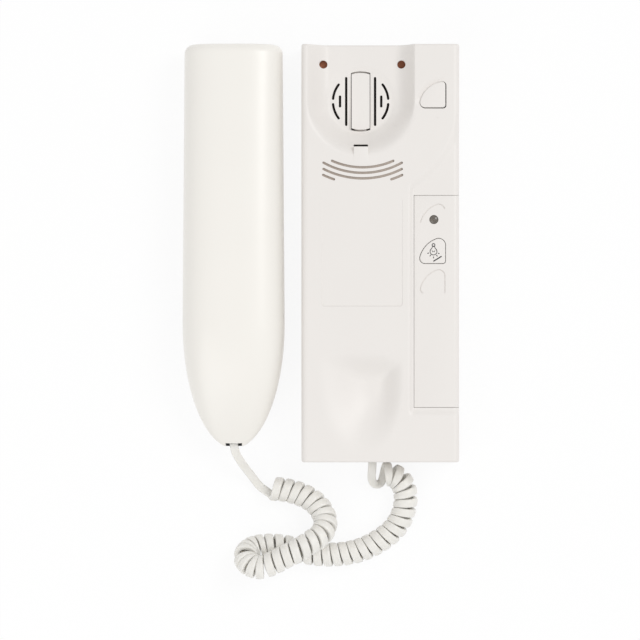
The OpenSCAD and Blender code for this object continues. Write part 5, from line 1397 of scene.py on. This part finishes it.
# Sign of a hanging lamp in millimetres from its bulb's centre: bulb, neck, ring, wire and ground line
SIGN_BULB = arc((0, 0), 1.74, 128, 412, 30)
SIGN_NECK = ((0.62, 2.1), (0.62, 2.5), (-0.62, 2.5), (-0.62, 2.1))
SIGN_RING = arc((0, 3.3), 0.72, 0, 345, 16)
SIGN_WIRE = ((-0.75, 0.55), (-0.3, -0.35), (0, 0.2), (0.3, -0.35), (0.75, 0.55))
SIGN_GROUND = ((-0.1, -5.0), (4.1, -2.4))
# Middles of its rays, half a ray's length, and the lines' widths
SIGN_RAYS = ((-2.7, -0.85), (-1.63, -2.05), (0, -2.98), (1.74, -2.13), (2.6, -0.97))
SIGN_RAY = 0.45
SIGN_BULB_W = 0.4
SIGN_RAY_W = 0.44
SIGN_WIRE_W = 0.34
SIGN_GROUND_W = 0.62
# Its place from the key's lower right corner, and how far the ink goes into the key and stands on it
SIGN_AT = (-6 * MM, 6 * MM)
INK_UNDER = 0.03 * MM
INK_OVER = 0.02 * MM


def lamp_sign(centre, height):
    """Plain sign of a hanging lamp with rays and a ground line, in thin ink."""
    lines = [(np.vstack([SIGN_BULB, SIGN_NECK]), SIGN_BULB_W, True), (SIGN_RING, SIGN_RAY_W, True),
             (SIGN_WIRE, SIGN_WIRE_W, False), (SIGN_GROUND, SIGN_GROUND_W, False)]
    for ray in np.array(SIGN_RAYS):
        outward = unit(ray) * SIGN_RAY
        lines.append(([ray - outward, ray + outward], SIGN_RAY_W, False))
    low, high = height - INK_UNDER, height + INK_OVER
    strokes = [stroke("stroke", centre + np.asarray(line) * MM, width * MM, low, high, closed)
               for line, width, closed in lines]
    return together("light_key_sign", strokes)


class INTERCOM_OT_keys(bpy.types.Operator):
    """Makes the door key and the light key, with the sign on the light key"""

    bl_idname = "intercom.keys"
    bl_label = "Keys"

    def execute(self, context):
        s = context.scene.intercom_station
        face = s.depth - s.panel_drop
        door = key_cap("door_key_cap", s, s.door_y, s.depth, face - s.wall, s.door_corner)
        add(door, "door_button", "station_plastic", nodes=["door_key"], angle=SHARP_SHELL)
        light = key_cap("light_key_cap", s, s.light_y, face, face - s.panel_t)
        add(light, "light_button", "station_plastic", nodes=["light_key"], angle=SHARP_SHELL)
        sign = lamp_sign(np.array((s.key_x, s.light_y)) + SIGN_AT, face + s.key_rise)
        add(sign, "light_button", "station_plastic", finish="print")
        return {"FINISHED"}


# Handset

def nose_share(t, h):
    """Width of the mouth end, from 0 at its tip to 1."""
    return np.sqrt(np.maximum(1 - (np.maximum(h.nose - t, 0) / h.nose) ** 2, 0))


def end_inset(t, h):
    """How far the ear end's corners draw in."""
    into = np.maximum(t - (h.length - h.corner), 0)
    return h.corner - np.sqrt(np.maximum(h.corner ** 2 - into ** 2, 0))


def half_width(t, h):
    """Half width of the handset at distance t from its tip."""
    past = np.maximum(t - h.nose, 0) / (h.length - h.nose)
    return h.width / 2 * nose_share(t, h) + (h.end_w - h.width) / 2 * past - end_inset(t, h)


def back_height(t, h):
    """Height of the back above the seam."""
    past = np.maximum(t - h.nose, 0) / (h.length - h.nose)
    return (h.height - h.seam) * nose_share(t, h) ** 2 - h.crown_fall * past ** 2 - end_inset(t, h)


# Front shell: the mouth's rounding, flat and run up to the grip, and the ear's flat and run
MOUTH_ZONE = 29 * MM
MOUTH_FLAT = 7 * MM
MOUTH_RUN = 22 * MM
EAR_ZONE = 42.5 * MM
EAR_RUN = 20 * MM


def front_depth(t, h):
    """Depth of the front below the seam: full at the mouth and the ear, shallow at the grip."""
    shallow = h.seam - h.grip
    swell = np.maximum(1 - smooth((t - MOUTH_ZONE - MOUTH_FLAT) / MOUTH_RUN),
                       smooth((t - (h.length - EAR_ZONE - EAR_RUN)) / EAR_RUN))
    full = np.sqrt(np.maximum(1 - (np.maximum(MOUTH_ZONE - t, 0) / MOUTH_ZONE) ** 2, 0))
    return np.where(t < MOUTH_ZONE, h.seam * full, shallow + (h.seam - shallow) * swell) - end_inset(t, h)


# How square a shell's cross section is, and how many points it has across
SHELL_POWER = 2 / 3
SHELL_ACROSS = 64
# Cross sections of the nose, the body and the ear end's corner, and angles where these start and end
NOSE_RINGS = 40
BODY_RINGS = 70
CORNER_RINGS = 14
NOSE_START = 2.2
NOSE_START_INSIDE = 4
CORNER_END = 84
# Least half width and height of a section, those below which the seam's groove fades, and the least groove
LEAST_HALF = 0.2 * MM
GROOVE_FULL_W = 6 * MM
GROOVE_FULL_H = 4 * MM
LEAST_GROOVE = 0.05 * MM
# Least angle of the even points that follow the groove, and how far they keep from it
FIRST_ANGLE = 0.06
FIRST_ROOM = 1.5


def shell_stations(h, inset):
    """Distances from the tip at which a shell has its cross sections."""
    start = NOSE_START_INSIDE if inset else NOSE_START
    nose = inset + (h.nose - inset) * (1 - np.cos(np.radians(np.linspace(start, 90, NOSE_RINGS))))
    body = np.linspace(h.nose, h.length - h.corner - inset / 2, BODY_RINGS)[1:]
    turn = np.radians(np.linspace(0, CORNER_END, CORNER_RINGS))[1:]
    corner = h.length - inset - (h.corner - inset / 2) * (1 - np.sin(turn))
    return np.concatenate([nose, body, corner])


def shell_rings(h, side, inset):
    """Cross sections of one shell, 1 for the back and -1 for the front, drawn in by inset."""
    rings = []
    for t in shell_stations(h, inset):
        w = max(LEAST_HALF, float(half_width(t, h)) - inset)
        d = max(LEAST_HALF, float(back_height(t, h) if side > 0 else front_depth(t, h)) - inset)
        groove = 0 if inset else h.seam_groove * min(1, w / GROOVE_FULL_W, d / GROOVE_FULL_H)
        first = math.asin((max(groove, LEAST_GROOVE) / d) ** (1 / SHELL_POWER))
        even = np.linspace(max(FIRST_ANGLE, FIRST_ROOM * first), math.pi / 2, SHELL_ACROSS // 2)
        quarter = np.concatenate([[0, first], even])
        a = np.concatenate([quarter, math.pi - quarter[-2::-1]])
        x = w * powered(np.cos(a), SHELL_POWER)
        z = d * np.abs(np.sin(a)) ** SHELL_POWER
        x[0] -= groove
        x[-1] += groove
        z[0] = z[-1] = -OVER if inset else 0
        y = np.full(len(x), h.top - h.length + t)
        rings.append(np.column_stack([h.middle + x, y, h.seam + side * z]))
    return rings


def shell(name, h, side):
    """One hollow shell of the handset."""
    outer, inner = (shell_rings(h, side, inset)[::side] for inset in (0, h.shell))
    return combine(loft(name, outer), "DIFFERENCE", [loft("hollow", inner)])


def plug_way(h):
    """Cut for the cord plug in the mouth end."""
    low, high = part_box("handset_plug")
    jack_low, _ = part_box("handset_jack")
    return box("plug_way", (low[0] - PLUG_PLAY, h.top - h.length - OVER, low[2] - PLUG_PLAY),
               (high[0] + PLUG_PLAY, jack_low[1], high[2] + PLUG_PLAY))


# Dark plate of painted shade in the plug's notch: how much wider than the plug, room at the tip and the
# plug, corners, height and thickness
NOTCH_SHADE_SPREAD = 0.3 * MM
NOTCH_SHADE_INSET = 1.0 * MM
NOTCH_SHADE_PLAY = 0.05 * MM
NOTCH_SHADE_CORNER = 0.3 * MM
NOTCH_SHADE_RISE = 1.2 * MM
NOTCH_SHADE_THICK = 0.25 * MM


def notch_shade_plate(h):
    """Dark plate at the foot of the plug's opening, painted shade that stands in for the notch's dark
    cavity.
    """
    low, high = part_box("handset_plug")
    tip = h.top - h.length
    start = (low[0] - NOTCH_SHADE_SPREAD, tip + NOTCH_SHADE_INSET)
    end = (high[0] + NOTCH_SHADE_SPREAD, low[1] - NOTCH_SHADE_PLAY)
    outline = rounded_rectangle(start, end, NOTCH_SHADE_CORNER)
    foot = low[2] + NOTCH_SHADE_RISE
    return prism("handset_jack_lip", outline, foot, foot + NOTCH_SHADE_THICK)


# Sound holes of the ear, one amid a ring of six, and of the mouth, three in a row
EAR_HOLE_RING = 5 * MM
EAR_HOLE_R = 1 * MM
MOUTH_HOLE_PITCH = 3.2 * MM
MOUTH_HOLE_R = 0.8 * MM
# Notch that the tongue catches: its reach below and above the ear cradle's edge, and its room past the shell
CATCH_BELOW = 5 * MM
CATCH_ABOVE = 5.4 * MM
CATCH_ROOM = 2 * MM
# Screw posts: a screw's axis from the end of the screws' box, and sizes of the posts and of the ways in them
POST_INSET = 2.3 * MM
POST_R = 4.2 * MM
POST_FOOT = 0.6 * MM
POST_RISE = 1 * MM
POST_WAY_R = 2.6 * MM
POST_WAY_RISE = 2.4 * MM


def sound_holes(h):
    """Cut of the ear's and the mouth's sound holes in the front shell."""
    ear_y, mouth_y = (box_middle(capsule)[1] for capsule in ("receiver_capsule", "microphone_capsule"))
    ring = arc((h.middle, ear_y), EAR_HOLE_RING, 0, 300, 5)
    places = [((h.middle, ear_y), EAR_HOLE_R)] + [(point, EAR_HOLE_R) for point in ring]
    places += [((h.middle + step * MOUTH_HOLE_PITCH, mouth_y), MOUTH_HOLE_R) for step in (-1, 0, 1)]
    holes = [rod("hole", place, radius, -OVER, h.shell + OVER, 24) for place, radius in places]
    return together("holes", holes)


class INTERCOM_OT_handset(bpy.types.Operator):
    """Moulds the two shells of the handset"""

    bl_idname = "intercom.handset"
    bl_label = "Handset"

    def execute(self, context):
        h = context.scene.intercom_handset
        s = context.scene.intercom_station
        back = shell("handset_back_shell", h, 1)
        combine(back, "DIFFERENCE", [plug_way(h)])
        add(back, "handset", "handset_plastic", nodes=["handset_back"], angle=SHARP_SHELL)
        front = shell("handset_front_shell", h, -1)
        foot = s.ear_y - s.ear_r
        catch = box("catch", (h.middle - s.tongue_w / 2 - OVER, foot - CATCH_BELOW, -OVER),
                    (h.middle + s.tongue_w / 2 + OVER, foot + CATCH_ABOVE, h.grip + h.shell + CATCH_ROOM))
        low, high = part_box("handset_screws")
        axes = [(h.middle, y) for y in (low[1] + POST_INSET, high[1] - POST_INSET)]
        posts = [rod("post", axis, POST_R, h.grip + POST_FOOT, h.seam + POST_RISE) for axis in axes]
        ways = [rod("way", axis, POST_WAY_R, 0, h.grip + POST_WAY_RISE) for axis in axes]
        combine(front, "UNION", [together("posts", posts)])
        combine(front, "DIFFERENCE", [sound_holes(h), catch, together("ways", ways), plug_way(h)])
        add(front, "handset", "handset_plastic", nodes=["handset_front"], angle=SHARP_SHELL)
        # Painted shade: a dark plate in the plug's notch stands in for the shade of the cavity under it
        add(notch_shade_plate(h), "handset", "dark_plastic")
        return {"FINISHED"}


# Model nodes that keep their shape

NODE_FINISHES = {
    "station_plastic": ("rear_tray", "hook_lever"),
    "clear_plastic": ("station_plug", "handset_plug"),
    "phenolic_board": ("circuit_board",),
    "lamp_lens": ("status_light",),
    "sound_cloth": ("sounder_cloth",),
    "steel": ("hook_pin", "board_screws", "sounder_basket", "terminal_screws", "cover_screw",
              "handset_screws", "balance_weight", "microphone_capsule"),
    "dark_plastic": ("door_switch", "light_switch", "hook_switch", "door_key_stem", "light_key_stem",
                     "status_light_sleeve", "station_jack", "handset_jack"),
    "ferrite": ("sounder_magnet",),
    "paper_cone": ("sounder_cone",),
    "blue_sleeve": ("board_capacitors",),
    "tan_lacquer": ("board_resistors",),
    "yellow_tape": ("board_transformer",),
    "terminal_plastic": ("terminal_block",),
    "capsule_plastic": ("receiver_capsule",),
    "soft_rubber": ("receiver_gasket", "microphone_boot"),
    "red_plastic": ("hook_plunger", "inner_wires"),
    "green_plastic": ("handset_wires",),
}
# How much the edges of some of them are rounded
SOFT_EDGES = {"rear_tray": 0.4 * MM, "hook_lever": 0.35 * MM, "cover_screw": 0.2 * MM,
              "station_plug": 0.15 * MM, "handset_plug": 0.15 * MM}
# Contact blades of a plug: their number, pitch and size, and their place from the plug's inner end and top
CONTACTS = 4
CONTACT_PITCH = 1.27 * MM
CONTACT_BLADE = (0.3 * MM, 3.0 * MM, 1.2 * MM)
CONTACT_INSET = 2.4 * MM
CONTACT_SINK = 1.1 * MM


class INTERCOM_OT_contacts(bpy.types.Operator):
    """Sets the rows of contact blades into both cord plugs"""

    bl_idname = "intercom.contacts"
    bl_label = "Plug Contacts"

    def execute(self, context):
        tree, sockets = row_tree("contact row")
        for plug, body in (("station_plug", "station"), ("handset_plug", "handset")):
            _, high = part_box(plug)
            left = box_middle(plug)[0] - (CONTACTS - 1) / 2 * CONTACT_PITCH
            blades = row(f"{plug}_contacts", tree, sockets, {
                "Number": CONTACTS, "First": (left, high[1] - CONTACT_INSET, high[2] - CONTACT_SINK),
                "Step": (CONTACT_PITCH, 0, 0), "Block": CONTACT_BLADE, "Material": FINISHES["contact_gold"]})
            add(blades, body, "steel", finish="contact_gold")
        return {"FINISHED"}


# Joint that presses each spring, and how much more than its travel a spring can give
SPRING_JOINTS = {"door_key_spring": "door_key_press", "light_key_spring": "light_key_press",
                 "hook_spring": "hook_press"}
SPRING_PLAY = 0.1 * MM


def spring_travel(name, joint_name):
    """How far the joint's limit presses the top of a spring down."""
    joint = next(j for j in frame["record"]["behaviour"]["joints"] if j["name"] == joint_name)
    if "range_m" in joint:
        return joint["range_m"][1]
    reach = abs(box_middle(name)[1] - joint["pos_m"][1])
    return reach * math.sin(math.radians(joint["range_deg"][1]))


class INTERCOM_OT_springs(bpy.types.Operator):
    """Makes the return springs of the hook and the keys from welded copies of the model's nodes"""

    bl_idname = "intercom.springs"
    bl_label = "Return Springs"

    def execute(self, context):
        for name, joint in SPRING_JOINTS.items():
            wire = frame["nodes"][name].data.copy()
            mesh = bmesh.new()
            mesh.from_mesh(wire)
            bmesh.ops.remove_doubles(mesh, verts=mesh.verts, dist=NODE_WELD)
            mesh.to_mesh(wire)
            mesh.free()
            spring = bpy.data.objects.new(f"{name}_wire", wire)
            context.scene.collection.objects.link(spring)
            add(spring, "station", "steel", nodes=[name])
            low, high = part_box(name)
            keep = 1 - (spring_travel(name, joint) + SPRING_PLAY) / (high[2] - low[2])
            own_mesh(spring)
        return {"FINISHED"}


class INTERCOM_OT_nodes(bpy.types.Operator):
    """Gives the model's own nodes their materials and rounds the edges of some"""

    bl_idname = "intercom.nodes"
    bl_label = "Carried Nodes"

    def execute(self, context):
        for slot, names in NODE_FINISHES.items():
            for name in names:
                dress_node(name, FINISHES[slot], SOFT_EDGES.get(name, 0.0))
        return {"FINISHED"}


# Stage

# Camera: its place, and its lens and sensor in millimetres
CAMERA_AT = (-30.6 * MM, -33.9 * MM, 1.83)
CAMERA_LENS = 200.0
CAMERA_SENSOR = 36
# Lamps: place, point that each looks at, width and power
LAMPS = {
    "key_light": ((1.7, 1.0, 2.6), (0, 0, 0), 1.4, 32.0),
    "fill_light": ((-0.6, -0.75, 0.95), (-0.03, -0.03, 0), 1.0, 3.6),
}
ROOM_LIGHT = 0.66
WHITE = (1, 1, 1, 1)
# Half the floor's width, its place just below the set, and the share of it that is seen as plain white
FLOOR_REACH = 1.6
FLOOR_Z = -0.1 * MM
FLOOR_WHITE = 0.9


def add_light(name, place, aim, width, power):
    """Soft square lamp that looks at a point."""
    data = bpy.data.lights.new(name, "AREA")
    data.shape = "SQUARE"
    data.size = width
    data.energy = power
    lamp = bpy.data.objects.new(name, data)
    bpy.context.scene.collection.objects.link(lamp)
    lamp.location = place
    x, y, z = np.array(aim) - np.array(place)
    lamp.rotation_euler = (math.atan2(math.hypot(x, y), -z), 0, math.atan2(y, x) - math.pi / 2)


def floor_finish(tint):
    """White floor that keeps the set's shadow: part of what the camera sees of it is plain white."""
    f = Finish("Floor")
    rays = [f.node("ShaderNodeLightPath", output=f"Is {kind} Ray")
            for kind in ("Camera", "Glossy", "Transmission")]
    seen = f.larger(f.larger(rays[0], rays[1]), rays[2])
    grain = f.noise(40.0, detail=2.0)
    dull = f.node("ShaderNodeBsdfDiffuse", None, {"Color": f.mix(grain, shade(tint, 0.99), tint)})
    white = f.node("ShaderNodeEmission", None, {"Color": WHITE, "Strength": 1.0})
    mixed = f.node("ShaderNodeMixShader", None, {0: FLOOR_WHITE * seen, 1: dull, 2: white})
    f.tree.links.new(mixed.socket, f.output.inputs["Surface"])
    return f.material


class INTERCOM_OT_stage(bpy.types.Operator):
    """Sets the floor, the soft light and the camera"""

    bl_idname = "intercom.stage"
    bl_label = "Stage"

    def execute(self, context):
        scene = context.scene
        corners = [(x * FLOOR_REACH, y * FLOOR_REACH, FLOOR_Z)
                   for x, y in ((-1, -1), (1, -1), (1, 1), (-1, 1))]
        floor = piece("floor", corners, [(0, 1, 2, 3)])
        floor.data.materials.append(floor_finish(scene.intercom_finishes.floor))
        camera = bpy.data.objects.new("camera", bpy.data.cameras.new("camera"))
        camera.data.lens = CAMERA_LENS
        camera.data.sensor_width = CAMERA_SENSOR
        camera.location = CAMERA_AT
        scene.collection.objects.link(camera)
        scene.camera = camera
        for name, lamp in LAMPS.items():
            add_light(name, *lamp)
        world = bpy.data.worlds.new("studio")
        world.use_nodes = True
        light = world.node_tree.nodes["Background"].inputs
        light["Color"].default_value = WHITE
        light["Strength"].default_value = ROOM_LIGHT
        scene.world = world
        scene.view_settings.view_transform = "Standard"
        return {"FINISHED"}


class INTERCOM_PT_sidebar(bpy.types.Panel):
    """Lists the pieces of the set"""

    bl_label = "Intercom"
    bl_space_type = "VIEW_3D"
    bl_region_type = "UI"
    bl_category = "Intercom"

    def draw(self, context):
        for operator in OPERATORS:
            self.layout.operator(operator.bl_idname)


OPERATORS = (INTERCOM_OT_stage, INTERCOM_OT_cord, INTERCOM_OT_nodes, INTERCOM_OT_springs,
             INTERCOM_OT_cover, INTERCOM_OT_shade_sheet, INTERCOM_OT_panel, INTERCOM_OT_keys,
             INTERCOM_OT_handset, INTERCOM_OT_contacts)
GROUPS = {"intercom_station": StationSizes, "intercom_handset": HandsetSizes, "intercom_cord": CordSizes,
          "intercom_finishes": Finishes}


def register():
    """Registers the classes and hangs the values on the scene."""
    for group in GROUPS.values():
        bpy.utils.register_class(group)
    for name, group in GROUPS.items():
        setattr(bpy.types.Scene, name, bpy.props.PointerProperty(type=group))
    for operator in OPERATORS:
        bpy.utils.register_class(operator)
    bpy.utils.register_class(INTERCOM_PT_sidebar)


def unregister():
    """Takes the classes and the scene's values away again."""
    bpy.utils.unregister_class(INTERCOM_PT_sidebar)
    for operator in reversed(OPERATORS):
        bpy.utils.unregister_class(operator)
    for name, group in reversed(GROUPS.items()):
        delattr(bpy.types.Scene, name)
        bpy.utils.unregister_class(group)


def main():
    """Builds the set."""
    register()
    FINISHES.update(make_finishes(bpy.context.scene.intercom_finishes))
    for operator in OPERATORS:
        group, name = operator.bl_idname.split(".")
        getattr(getattr(bpy.ops, group), name)()


if __name__ == "__main__":
    main()
